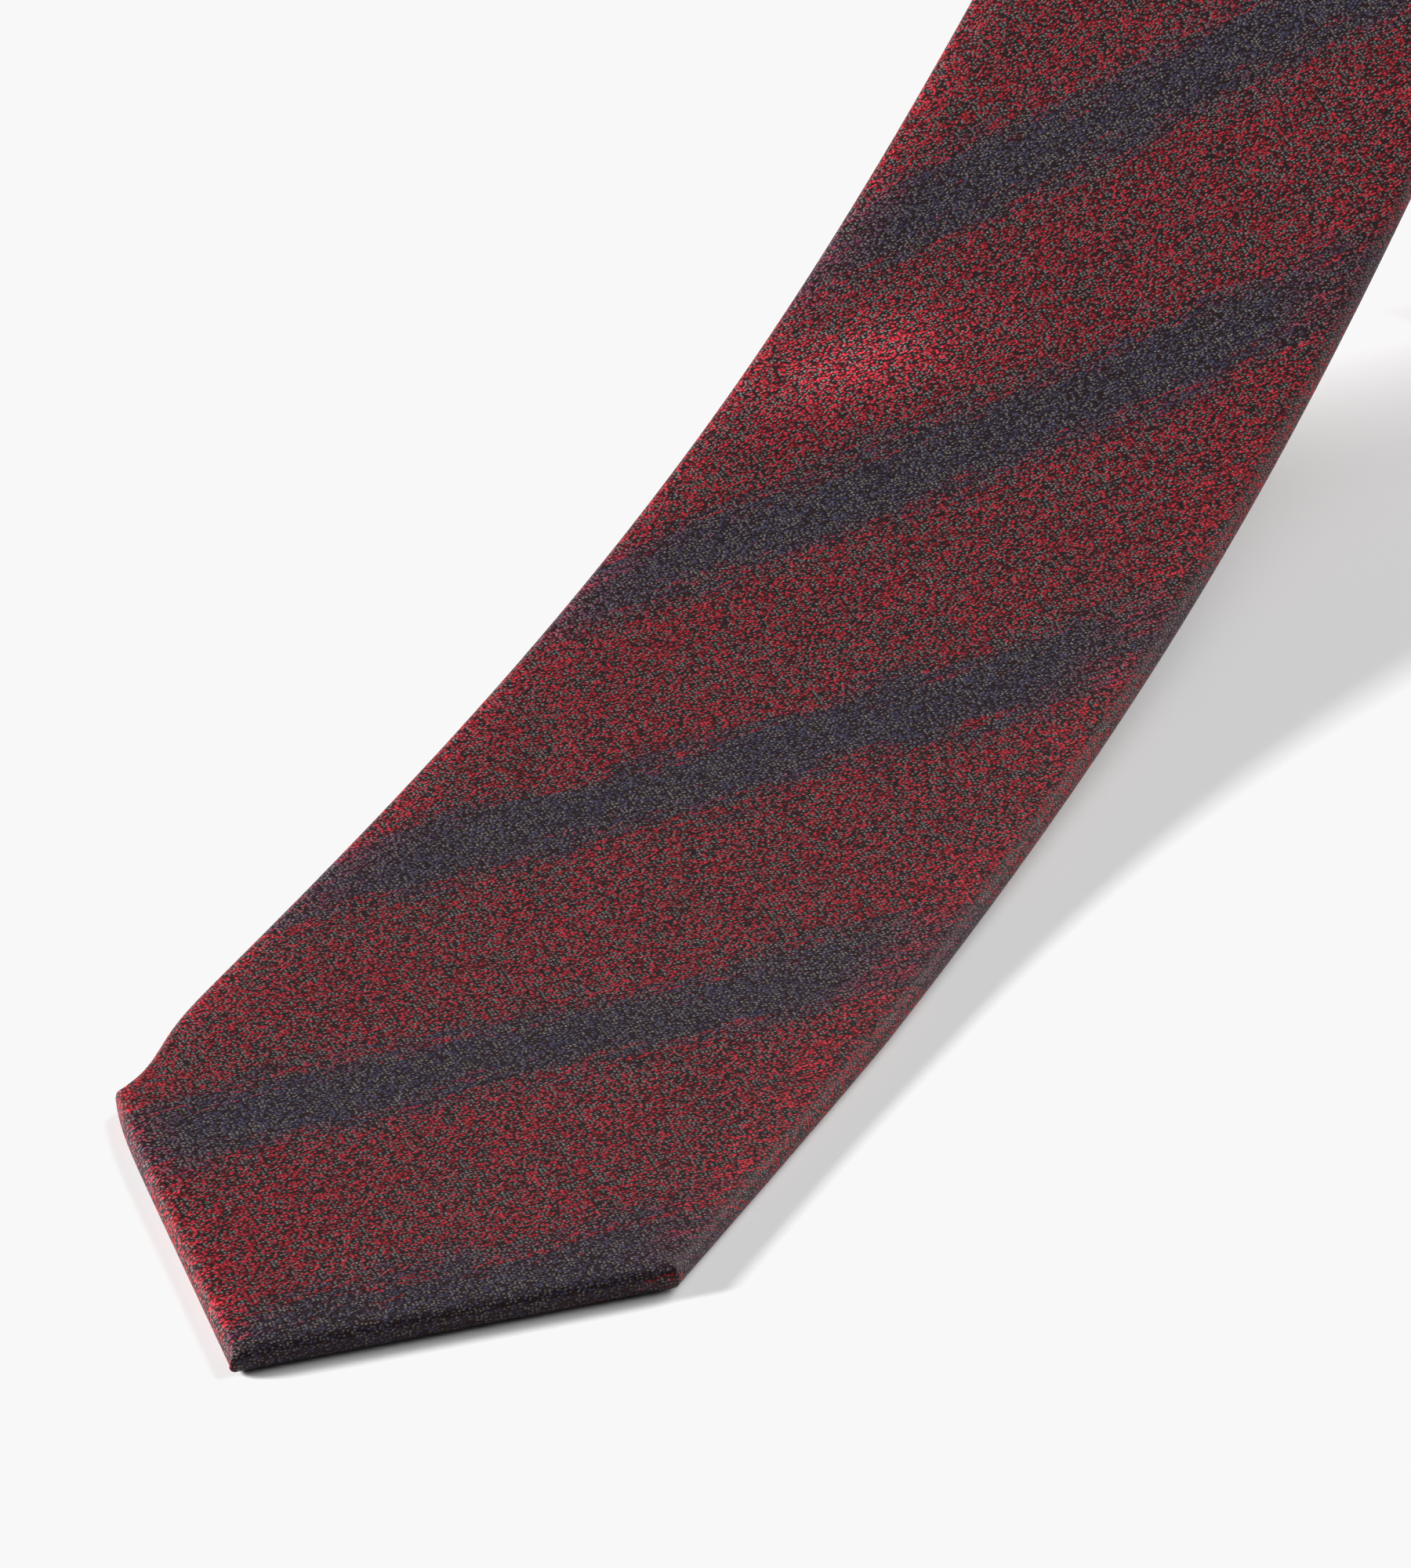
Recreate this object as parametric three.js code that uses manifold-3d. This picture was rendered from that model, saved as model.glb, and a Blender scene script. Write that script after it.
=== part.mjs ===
// A folded silk necktie, rolled up from its narrow end and standing on the roll, with the last stretch
// of its front blade left free: it comes off the top of the roll, sweeps down and lies flat at its point.
// Millimetres, +Z up. X runs across the tie, +Y from the tip of the front blade towards the roll.
import * as THREE from "three";
import { mergeVertices } from "three/addons/utils/BufferGeometryUtils.js";
import Module from "manifold-3d";

// Overall sizes
const TIE_LENGTH = 1480; // tip to tip, measured along the cloth
const BLADE_WIDTH = 75; // across the shoulders of the front point
const TAIL_WIDTH = 46; // across the shoulders of the tail point
const NECK_WIDTH = 34; // narrowest place, behind the neck
const FRONT_POINT = 36.5; // front shoulders to tip
const TAIL_POINT = 22; // tail shoulders to tip
const FRONT_TAPER = 0.046; // width lost per millimetre behind the front shoulders
const TAIL_TAPER = 0.03; // width lost per millimetre behind the tail shoulders

// Layers of cloth, from the back of the tie to its face
const SHELL = 0.7; // one thickness of silk with its turned allowance
const CANVAS = 1.3; // interlining
const LINING = 0.3; // tipping
const EASE = 0.3; // clearance between neighbouring layers
const SLIT = 1.2; // opening of the centre back seam
const THREAD = 0.5;

// Lengths along the cloth, from the front tip
const FLAT_LENGTH = 40; // stretch of the front point that lies flat
const FRONT_PANEL = 640; // front panel of silk, up to its neck seam
const NECK_PANEL = 370; // neck panel, between the two neck seams
const HEM = 9; // turned edge round each point
const FRONT_TIPPING = 106; // where the front tipping ends
const TIP_CUT = 112; // where the point flexes against the blade
const FRONT_TACK = 116; // start of the front bar tack
const TAIL_TACK = 62; // start of the tail bar tack, from the tail tip
const TAIL_TIPPING = 56; // length of the tail tipping
const TACK_LENGTH = 8;
const SEAM_GAP = 1.1; // opening between two panels, which holds the neck seam's thread
const CUT_GAP = 0.4; // opening between two stretches that flex

// Roll
const CORE_RADIUS = 12; // radius of the first wrap
const WRAP_EASE = 1.0; // air between one wrap and the next
const LEAVE_ANGLE = 31; // slope of the blade where it leaves the roll, in degrees
const STEPS_TO_FLOOR = 14; // facets from there to the one that stands on the table
const RISE_STEP = 12; // spacing of the sections along the rising blade

// Fittings on the back of the blade
const LABEL = { start: 168, length: 34, width: 48, thick: 0.5, inset: 2 };
const KEEPER = { start: 232, length: 14, width: 52, foot: 6, slope: 4, slack: 2.4, thick: 0.6 };
const CARE_TAG = { at: 254, width: 20, length: 26, thick: 0.4 };
const TACK = { length: 3, width: 0.6, thick: 0.4 };

// Sizes that follow from the ones above
const THICK = 2 * SHELL + CANVAS + LINING + 3 * EASE;
const PITCH = THICK + WRAP_EASE;
const TAIL_START = FRONT_PANEL + NECK_PANEL;
const OPEN_SLOPE = (BLADE_WIDTH / 2 - HEM) / (FRONT_TACK - FRONT_POINT);
const TAIL_OPEN_SLOPE = (TAIL_WIDTH / 2 - HEM) / (TAIL_TACK - TAIL_POINT);
const HALF_CUT = CUT_GAP / 2;
const HALF_SEAM = SEAM_GAP / 2;

const wasm = await Module();
wasm.setup();

// ---- Centre line of the cloth, in the YZ plane ----

const PATH_STEP = 0.5;
const rad = THREE.MathUtils.degToRad;

// The slope's share of its steepest, along the rising stretch: it gathers evenly, then eases off.
const ease = (t) => (t < 0.5 ? 2 * t * t : 1 - 2 * (1 - t) ** 2);

// Mean of the sine of the slope over the rising stretch, so that rise = length * this.
function meanRise() {
  const parts = 400;
  let sum = 0;
  for (let i = 0; i < parts; i++) sum += Math.sin(rad(LEAVE_ANGLE) * ease((i + 0.5) / parts));
  return sum / parts;
}

// The roll for a given length of rolled cloth: an even spiral, centred on its own axis.
function rollFor(rolled) {
  const radius = Math.sqrt(CORE_RADIUS ** 2 + (PITCH * rolled) / Math.PI);
  const perRadian = PITCH / (2 * Math.PI);
  const leave = -rad(LEAVE_ANGLE) - Math.atan(perRadian / radius);
  const step = (Math.PI - leave) / (STEPS_TO_FLOOR + 0.5);
  const low = leave + STEPS_TO_FLOOR * step;
  const outer = (turn) => radius - perRadian * (turn - leave) + THICK / 2;
  const stand = Math.max(-outer(low) * Math.cos(low), -outer(low + step) * Math.cos(low + step));
  return { radius, perRadian, leave, step, stand };
}

// The rising stretch is as long as it takes to reach the roll's height.
function solveRise() {
  const share = meanRise();
  let rise = TIE_LENGTH / 5;
  for (let i = 0; i < 60; i++) {
    const roll = rollFor(TIE_LENGTH - FLAT_LENGTH - rise);
    rise = (roll.stand + roll.radius * Math.cos(roll.leave) - THICK / 2) / share;
  }
  return rise;
}

const RISE = solveRise();
const LEAVE_AT = FLAT_LENGTH + RISE;
const ROLL = rollFor(TIE_LENGTH - LEAVE_AT);

// Points every PATH_STEP along the cloth: y, z and the slope.
function tracePath() {
  const points = [{ s: 0, y: 0, z: THICK / 2, slope: 0 }];
  const slopeAt = (s) => rad(LEAVE_ANGLE) * ease(THREE.MathUtils.clamp((s - FLAT_LENGTH) / RISE, 0, 1));
  while (points.at(-1).s < LEAVE_AT) {
    const last = points.at(-1);
    const length = Math.min(PATH_STEP, LEAVE_AT - last.s);
    const slope = slopeAt(last.s + length / 2);
    const s = length < PATH_STEP ? LEAVE_AT : last.s + length;
    points.push({
      s,
      y: last.y + length * Math.cos(slope),
      z: last.z + length * Math.sin(slope),
      slope: slopeAt(s),
    });
  }
  const exit = points.at(-1);
  const centreY = exit.y - ROLL.radius * Math.sin(ROLL.leave);
  const centreZ = exit.z - ROLL.radius * Math.cos(ROLL.leave);
  let turn = ROLL.leave;
  while (points.at(-1).s < TIE_LENGTH) {
    const last = points.at(-1);
    const length = Math.min(PATH_STEP, TIE_LENGTH - last.s);
    turn += length / Math.hypot(ROLL.radius - ROLL.perRadian * (turn - ROLL.leave), ROLL.perRadian);
    const radius = ROLL.radius - ROLL.perRadian * (turn - ROLL.leave);
    points.push({
      s: length < PATH_STEP ? TIE_LENGTH : last.s + length,
      y: centreY + radius * Math.sin(turn),
      z: centreZ + radius * Math.cos(turn),
      slope: -turn - Math.atan(ROLL.perRadian / radius),
      turn,
    });
  }
  return points;
}

const PATH = tracePath();

// The centre line at s: its point and its slope. Past either end it goes straight on.
function centreAt(s) {
  const end = s < 0 ? PATH[0] : s > TIE_LENGTH ? PATH.at(-1) : null;
  if (end) {
    const extra = s - end.s;
    return {
      y: end.y + extra * Math.cos(end.slope),
      z: end.z + extra * Math.sin(end.slope),
      slope: end.slope,
    };
  }
  let low = 0;
  let high = PATH.length - 1;
  while (high - low > 1) {
    const middle = (low + high) >> 1;
    if (PATH[middle].s <= s) low = middle;
    else high = middle;
  }
  const [a, b] = [PATH[low], PATH[high]];
  const t = (s - a.s) / (b.s - a.s);
  const mix = THREE.MathUtils.lerp;
  return { y: mix(a.y, b.y, t), z: mix(a.z, b.z, t), slope: mix(a.slope, b.slope, t) };
}

// x across, h from the back face (0) to the front face (THICK), s along the cloth.
function place(x, h, s) {
  const { y, z, slope } = centreAt(s);
  const off = h - THICK / 2;
  return new THREE.Vector3(x, y - off * Math.sin(slope), z + off * Math.cos(slope));
}

// Where every layer has a section: each facet of the roll, and evenly along the rising blade.
function sectionPlaces() {
  const places = [];
  const rises = Math.ceil(RISE / RISE_STEP);
  for (let i = 0; i <= rises; i++) places.push(FLAT_LENGTH + (RISE * i) / rises);
  let facet = 1;
  for (const point of PATH) {
    if (point.turn === undefined || point.turn < ROLL.leave + facet * ROLL.step) continue;
    places.push(point.s);
    facet += 1;
  }
  return places;
}

const SECTIONS = sectionPlaces();

// ---- Outline of the flat tie ----

const frontSide = (s) => BLADE_WIDTH / 2 - (FRONT_TAPER / 2) * (s - FRONT_POINT);
const tailSide = (s) => TAIL_WIDTH / 2 - (TAIL_TAPER / 2) * (TIE_LENGTH - TAIL_POINT - s);
const pointSlope = BLADE_WIDTH / 2 / FRONT_POINT;
const tailSlope = TAIL_WIDTH / 2 / TAIL_POINT;

// Half width of the outline drawn in by d all round.
function inset(d) {
  return (s) => {
    const front = pointSlope * s - d * Math.hypot(1, pointSlope);
    const tail = tailSlope * (TIE_LENGTH - s) - d * Math.hypot(1, tailSlope);
    return Math.min(front, tail, Math.max(NECK_WIDTH / 2, frontSide(s), tailSide(s)) - d);
  };
}

// Along the cloth, the tips and shoulders of the outline drawn in by d.
function corners(d) {
  const grow = Math.hypot(1, pointSlope);
  const tailGrow = Math.hypot(1, tailSlope);
  const shoulder =
    (BLADE_WIDTH / 2 + (FRONT_TAPER / 2) * FRONT_POINT + d * (grow - 1)) / (pointSlope + FRONT_TAPER / 2);
  const back =
    (TAIL_WIDTH / 2 + (TAIL_TAPER / 2) * TAIL_POINT + d * (tailGrow - 1)) / (tailSlope + TAIL_TAPER / 2);
  return {
    tip: (d * grow) / pointSlope,
    shoulder,
    tailShoulder: TIE_LENGTH - back,
    tailTip: TIE_LENGTH - (d * tailGrow) / tailSlope,
  };
}

// ---- Solids ----

// Joins a row of like outlines into one closed geometry. Each ring runs anticlockwise seen from the tip.
function loft(rings, outline) {
  const count = outline.length;
  const positions = rings.flat().flatMap((p) => [p.x, p.y, p.z]);
  const index = [];
  for (let i = 0; i + 1 < rings.length; i++) {
    for (let j = 0; j < count; j++) {
      const a = i * count + j;
      const b = i * count + ((j + 1) % count);
      index.push(a, a + count, b + count, a, b + count, b);
    }
  }
  const last = (rings.length - 1) * count;
  for (const [a, b, c] of THREE.ShapeUtils.triangulateShape(outline, [])) {
    index.push(a, b, c, last + a, last + c, last + b);
  }
  const geometry = new THREE.BufferGeometry();
  geometry.setAttribute("position", new THREE.Float32BufferAttribute(positions, 3));
  geometry.setIndex(index);
  return geometry;
}

// A length of anything that follows the cloth. sectionAt(s) gives its outline as [x, h] pairs.
function sweep(from, to, sectionAt, breaks = []) {
  const least = 0.05;
  const inside = [...SECTIONS, ...breaks].filter((s) => s > from + least && s < to - least);
  const places = [from, ...inside.sort((a, b) => a - b), to];
  const kept = places.filter((s, i) => i === 0 || s - places[i - 1] > least / 2);
  const rings = kept.map((s) => sectionAt(s).map(([x, h]) => place(x, h, s)));
  return loft(rings, sectionAt((from + to) / 2).map(([x, h]) => new THREE.Vector2(x, h)));
}

// A strip of cloth or thread: even about the centre line, between two heights.
function strip(from, to, halfAt, low, high, breaks = []) {
  const section = (s) => {
    const half = halfAt(s);
    return [[-half, low], [half, low], [half, high], [-half, high]];
  };
  return sweep(from, to, section, breaks);
}

function toSolid(geometry) {
  const bare = geometry.index ? geometry.toNonIndexed() : geometry.clone();
  bare.deleteAttribute("normal");
  bare.deleteAttribute("uv");
  const merged = mergeVertices(bare, 1e-4);
  const mesh = new wasm.Mesh({
    numProp: 3,
    vertProperties: merged.attributes.position.array,
    triVerts: new Uint32Array(merged.index.array),
  });
  return new wasm.Manifold(mesh);
}

function toGeometry(solid) {
  const mesh = solid.getMesh();
  const geometry = new THREE.BufferGeometry();
  geometry.setAttribute("position", new THREE.BufferAttribute(mesh.vertProperties, 3));
  geometry.setIndex(new THREE.BufferAttribute(mesh.triVerts, 1));
  geometry.computeVertexNormals();
  return geometry;
}

// ---- Finishes ----

function finish(colour, roughness) {
  return () => new THREE.MeshStandardMaterial({ color: colour, roughness, metalness: 0 });
}

const FINISHES = {
  silk: finish(0x5a2b30, 0.55),
  canvas: finish(0xcfc6b4, 0.95),
  lining: finish(0x4a2329, 0.45),
  thread: finish(0x7a2a33, 0.6),
  label: finish(0x23262e, 0.6),
  tag: finish(0xe9e6de, 0.5),
};

const tie = new THREE.Group();

function add(name, geometry, material) {
  const mesh = new THREE.Mesh(geometry, FINISHES[material]());
  mesh.name = name;
  tie.add(mesh);
  return mesh;
}

// ---- Silk shell: an envelope folded round the canvas, open along its centre back seam ----

const BLUNT = 0.4; // the very tips are this far inside the outline's own points

// Half width of the opening in the back: a slit, which spreads towards each point to meet the hem.
function backOpening(s) {
  const toFront = SLIT / 2 + Math.max(0, FRONT_TACK - s) * OPEN_SLOPE;
  const toTail = SLIT / 2 + Math.max(0, s - (TIE_LENGTH - TAIL_TACK)) * TAIL_OPEN_SLOPE;
  return Math.min(inset(HEM)(s), Math.max(toFront, toTail));
}

// Where the spreading opening meets the hem, found along the cloth.
function openingBreaks() {
  const hem = corners(HEM);
  const places = [FRONT_TACK, TIE_LENGTH - TAIL_TACK, hem.shoulder, hem.tailShoulder];
  const meets = (s) => backOpening(s) < inset(HEM)(s) - 1e-9;
  let before = meets(hem.tip);
  const step = 0.1;
  for (let s = hem.tip; s < hem.tailTip; s += step) {
    if (meets(s) !== before) places.push(s);
    before = meets(s);
  }
  return places;
}

function shell(name, from, to) {
  const outer = corners(0);
  const inner = corners(SHELL);
  const hem = corners(HEM);
  const over = 1; // how far a cut runs past what it cuts
  const first = Math.max(from, BLUNT);
  const last = Math.min(to, TIE_LENGTH - BLUNT);
  const body = strip(first, last, inset(0), 0, THICK, [outer.shoulder, outer.tailShoulder]);
  const hollow = strip(
    from > 0 ? from - over : inner.tip + BLUNT,
    to < TIE_LENGTH ? to + over : inner.tailTip - BLUNT,
    inset(SHELL),
    SHELL,
    THICK - SHELL,
    [inner.shoulder, inner.tailShoulder],
  );
  const opening = strip(
    from > 0 ? from - over : hem.tip + BLUNT,
    to < TIE_LENGTH ? to + over : hem.tailTip - BLUNT,
    backOpening,
    -over,
    SHELL + EASE / 2,
    openingBreaks(),
  );
  add(name, toGeometry(toSolid(body).subtract(toSolid(hollow)).subtract(toSolid(opening))), "silk");
}

shell("front_shell_tip", 0, TIP_CUT - HALF_CUT);
shell("front_shell_blade", TIP_CUT + HALF_CUT, LEAVE_AT - HALF_CUT);
shell("front_shell_roll", LEAVE_AT + HALF_CUT, FRONT_PANEL - HALF_SEAM);
shell("neck_shell", FRONT_PANEL + HALF_SEAM, TAIL_START - HALF_SEAM);
shell("tail_shell", TAIL_START + HALF_SEAM, TIE_LENGTH);

// The neck seams' thread lies across the face of the tie, in the opening between two panels.
function neckSeam(name, at) {
  const reach = HALF_SEAM - EASE;
  add(name, strip(at - reach, at + reach, inset(SHELL), THICK - SHELL, THICK - SHELL / 4), "thread");
}

neckSeam("front_neck_seam", FRONT_PANEL);
neckSeam("tail_neck_seam", TAIL_START);

// ---- Canvas and tipping, inside the shell ----

const CANVAS_LOW = SHELL + EASE + LINING + EASE;
const INSIDE = SHELL + EASE;
const room = corners(INSIDE);
const insideBreaks = [room.shoulder, room.tailShoulder];

function canvas(name, from, to) {
  add(name, strip(from, to, inset(INSIDE), CANVAS_LOW, CANVAS_LOW + CANVAS, insideBreaks), "canvas");
}

canvas("interlining_tip", room.tip + BLUNT, TIP_CUT - HALF_CUT);
canvas("interlining_blade", TIP_CUT + HALF_CUT, LEAVE_AT - HALF_CUT);
canvas("interlining_roll", LEAVE_AT + HALF_CUT, room.tailTip - BLUNT);

function tipping(name, from, to) {
  add(name, strip(from, to, inset(INSIDE), INSIDE, INSIDE + LINING, insideBreaks), "lining");
}

tipping("front_tipping", room.tip + BLUNT, FRONT_TIPPING);
tipping("tail_tipping", TIE_LENGTH - TAIL_TIPPING, room.tailTip - BLUNT);

// ---- Thread of the back seam ----

const stitchLow = (SHELL - THREAD) / 2;
const threadHalf = () => Math.min(THREAD, SLIT - 2 * EASE) / 2;

function backThread(name, from, to) {
  add(name, strip(from, to, threadHalf, stitchLow, stitchLow + THREAD), "thread");
}

const STITCH_START = FRONT_TACK + TACK_LENGTH + 2 * EASE;
const STITCH_END = TIE_LENGTH - TAIL_TACK - TACK_LENGTH - 2 * EASE;
backThread("front_bar_tack", FRONT_TACK, FRONT_TACK + TACK_LENGTH);
backThread("slip_stitch_blade", STITCH_START, LEAVE_AT - HALF_CUT);
backThread("slip_stitch_roll", LEAVE_AT + HALF_CUT, STITCH_END);
backThread("tail_bar_tack", STITCH_END + 2 * EASE, STITCH_END + 2 * EASE + TACK_LENGTH);

// ---- Label, keeper loop and care tag on the back ----

// A short bar of thread under a fitting; top is the face of what it holds.
function tack(name, x, at, top) {
  const section = () => [
    [x - TACK.width / 2, top - EASE - TACK.thick],
    [x + TACK.width / 2, top - EASE - TACK.thick],
    [x + TACK.width / 2, top - EASE],
    [x - TACK.width / 2, top - EASE],
  ];
  add(name, sweep(at - TACK.length / 2, at + TACK.length / 2, section), "thread");
}

const labelEnd = LABEL.start + LABEL.length;
const labelFace = -EASE - LABEL.thick;
add("blank_label", strip(LABEL.start, labelEnd, () => LABEL.width / 2, labelFace, -EASE), "label");
const labelRows = { lower: LABEL.start + LABEL.inset, upper: labelEnd - LABEL.inset };
for (const [row, at] of Object.entries(labelRows)) {
  tack(`label_tack_${row}_left`, LABEL.inset - LABEL.width / 2, at, labelFace);
  tack(`label_tack_${row}_right`, LABEL.width / 2 - LABEL.inset, at, labelFace);
}

// The keeper's section: two flat feet and a band between them that stands off by its slack.
function keeperSection() {
  const { width, foot, slope, slack, thick } = KEEPER;
  const edge = width / 2;
  const top = [[edge, 0], [edge - foot, 0], [edge - foot - slope, slack]];
  const right = top.map(([x, drop]) => [x, -EASE - drop]);
  const left = right.toReversed().map(([x, h]) => [-x, h]);
  const under = [...left.toReversed(), ...right.toReversed()].map(([x, h]) => [x, h - thick]);
  return [...under, ...right, ...left];
}

const keeperEnd = KEEPER.start + KEEPER.length;
add("keeper_loop", sweep(KEEPER.start, keeperEnd, keeperSection), "silk");
const keeperFoot = (KEEPER.width - KEEPER.foot) / 2;
const keeperMiddle = KEEPER.start + KEEPER.length / 2;
tack("keeper_tack_left", -keeperFoot, keeperMiddle, -EASE - KEEPER.thick);
tack("keeper_tack_right", keeperFoot, keeperMiddle, -EASE - KEEPER.thick);

const tagStitch = () => CARE_TAG.width / 2 - EASE;
add(
  "care_tag_stitch",
  strip(CARE_TAG.at - THREAD / 2, CARE_TAG.at + THREAD / 2, tagStitch, -EASE - TACK.thick, -EASE),
  "thread",
);
const hang = place(0, -2 * EASE - TACK.thick, CARE_TAG.at);
const tag = add(
  "care_tag",
  new THREE.BoxGeometry(CARE_TAG.width, CARE_TAG.thick, CARE_TAG.length),
  "tag",
);
tag.position.set(0, hang.y, hang.z - EASE - CARE_TAG.length / 2);

// ---- Origin: middle of the footprint, on the table ----

const bounds = new THREE.Box3().setFromObject(tie);
const middle = bounds.getCenter(new THREE.Vector3());
tie.position.set(-middle.x, -middle.y, -bounds.min.z);

export default tie;
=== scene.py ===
"""A folded silk necktie, rolled up from its narrow end and standing on the roll.

The free stretch of its front blade comes off the top of the roll, sweeps down and lies flat at its
point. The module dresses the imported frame: silk panels folded round canvas, tipping, the slip-stitched
back seam, a blank label, a keeper loop and a care tag. Lengths are in millimetres until a mesh is made.
"""

from __future__ import annotations

import logging
import math
from dataclasses import dataclass, field
from enum import Enum
from typing import Callable

import bmesh
import bpy
import numpy as np
from mathutils import Matrix, Vector

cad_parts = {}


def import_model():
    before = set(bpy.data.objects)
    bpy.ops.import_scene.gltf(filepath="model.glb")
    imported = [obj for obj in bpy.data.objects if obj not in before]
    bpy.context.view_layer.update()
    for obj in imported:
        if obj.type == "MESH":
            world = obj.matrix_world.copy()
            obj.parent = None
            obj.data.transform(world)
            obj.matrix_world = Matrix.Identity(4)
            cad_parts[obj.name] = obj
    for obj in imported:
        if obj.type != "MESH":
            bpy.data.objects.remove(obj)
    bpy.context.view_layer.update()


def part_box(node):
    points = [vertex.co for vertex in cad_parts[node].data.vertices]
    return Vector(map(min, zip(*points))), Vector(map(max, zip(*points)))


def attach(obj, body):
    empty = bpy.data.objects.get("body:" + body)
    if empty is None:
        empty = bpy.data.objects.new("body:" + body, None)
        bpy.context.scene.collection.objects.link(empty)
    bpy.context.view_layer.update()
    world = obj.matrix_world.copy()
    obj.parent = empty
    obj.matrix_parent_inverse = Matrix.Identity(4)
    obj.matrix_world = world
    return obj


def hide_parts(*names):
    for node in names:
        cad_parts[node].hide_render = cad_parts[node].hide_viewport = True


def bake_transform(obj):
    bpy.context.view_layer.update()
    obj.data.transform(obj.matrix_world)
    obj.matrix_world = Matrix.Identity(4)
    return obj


LOG = logging.getLogger("necktie")
MM = 0.001
CLOTH_UV = "cloth"
PAINTED_GLINT = "edge"
PAINTED_SHEEN = "painted_sheen"
SIDES = (("left", -1), ("right", 1))
Colour = tuple[float, float, float, float]
Pair = tuple[float, float]
Piece = bpy.types.Object
Socket = bpy.types.NodeSocket


class Body(Enum):
    """The moving bodies of the tie."""

    ROLL = "roll"
    BLADE = "blade"
    TIP = "tip"
    TAG = "tag"


class Slot(Enum):
    """The material slots of the part."""

    SILK = "silk"
    CANVAS = "canvas"
    LINING = "lining"
    THREAD = "thread"
    LABEL = "label"
    TAG = "tag"


class Face(Enum):
    """Which face of the cloth a stitch stands on."""

    FRONT = 1
    BACK = -1


def smooth(share: np.ndarray) -> np.ndarray:
    """Ease a share between 0 and 1 at both ends."""
    return share * share * (3 - 2 * share)


def bell(place: np.ndarray, middle: float, width: float) -> np.ndarray:
    """A bump of height 1, e times lower a width away from its middle."""
    return np.exp(-(((place - middle) / width) ** 2))


def put(name: str, data: bpy.types.ID) -> Piece:
    """Make an object and link it to the scene."""
    made = bpy.data.objects.new(name, data)
    bpy.context.scene.collection.objects.link(made)
    return made


# ---------------------------------------------------------------------------------------------
# The cloth's line and outline


@dataclass(frozen=True)
class Point:
    """One pointed end of the tie; places along it are measured from its own tip."""

    width: float
    length: float
    taper: float

    @property
    def slope(self) -> float:
        """How steeply the point widens."""
        return self.width / 2 / self.length

    @property
    def grow(self) -> float:
        """How far the slanting edge moves out for a depth of 1 square to it."""
        return math.hypot(1, self.slope)

    def side(self, s: np.ndarray) -> np.ndarray:
        """Half width behind the shoulders."""
        return self.width / 2 - self.taper / 2 * (s - self.length)

    def inset(self, depth: float | np.ndarray, s: np.ndarray) -> np.ndarray:
        """Half width before the shoulders, drawn in by a depth."""
        return self.slope * s - depth * self.grow

    def corners(self, depth: float) -> Pair:
        """Places of the tip and the shoulders, drawn in by a depth."""
        half = self.width / 2 + self.taper / 2 * self.length + depth * (self.grow - 1)
        return depth * self.grow / self.slope, half / (self.slope + self.taper / 2)


@dataclass
class Outline:
    """The flat outline of the folded tie; places along it are measured from the front tip."""

    tie_length: float = 1480.0
    neck_width: float = 34.0
    front: Point = Point(width=75.0, length=36.5, taper=0.046)
    tail: Point = Point(width=46.0, length=22.0, taper=0.03)

    def side(self, s: np.ndarray) -> np.ndarray:
        """Half width between the shoulders, without the points."""
        tapers = np.maximum(self.front.side(s), self.tail.side(self.tie_length - s))
        return np.maximum(self.neck_width / 2, tapers)

    def inset(self, depth: float | np.ndarray, s: np.ndarray) -> np.ndarray:
        """Half width of the outline drawn in by a depth all round, below zero past the drawn-in tips."""
        points = np.minimum(self.front.inset(depth, s), self.tail.inset(depth, self.tie_length - s))
        return np.minimum(points, self.side(s) - depth)

    def depth_at_middle(self, s: np.ndarray) -> np.ndarray:
        """Distance from the centre line to the nearest edge."""
        front = self.front.inset(0, s) / self.front.grow
        tail = self.tail.inset(0, self.tie_length - s) / self.tail.grow
        return np.maximum(0, np.minimum(np.minimum(front, tail), self.side(s)))

    def corner_places(self, depth: float) -> list[float]:
        """Places along the cloth of the tips and shoulders of the drawn-in outline."""
        tail_tip, tail_shoulder = self.tail.corners(depth)
        return [*self.front.corners(depth), self.tie_length - tail_shoulder, self.tie_length - tail_tip]

    def unfold(self, x: np.ndarray, s: np.ndarray, over: np.ndarray) -> tuple[np.ndarray, np.ndarray]:
        """Lay cloth that has gone over the nearest edge out flat beside that edge.

        Args:
            x: places across the folded tie.
            s: places along it.
            over: how much further the cloth reaches past the edge than the folded place does.

        Returns:
            The two coordinates on the flat cloth.
        """
        front, tail = self.front, self.tail
        depths = [
            self.side(s) - np.abs(x),
            (front.slope * s - np.abs(x)) / front.grow,
            (tail.slope * (self.tie_length - s) - np.abs(x)) / tail.grow,
        ]
        nearest = np.argmin(np.stack(depths), axis=0)
        across = np.choose(nearest, [1.0, 1 / front.grow, 1 / tail.grow])
        along = np.choose(nearest, [0.0, -front.slope / front.grow, tail.slope / tail.grow])
        return x + np.sign(x) * across * over, s + along * over


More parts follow.
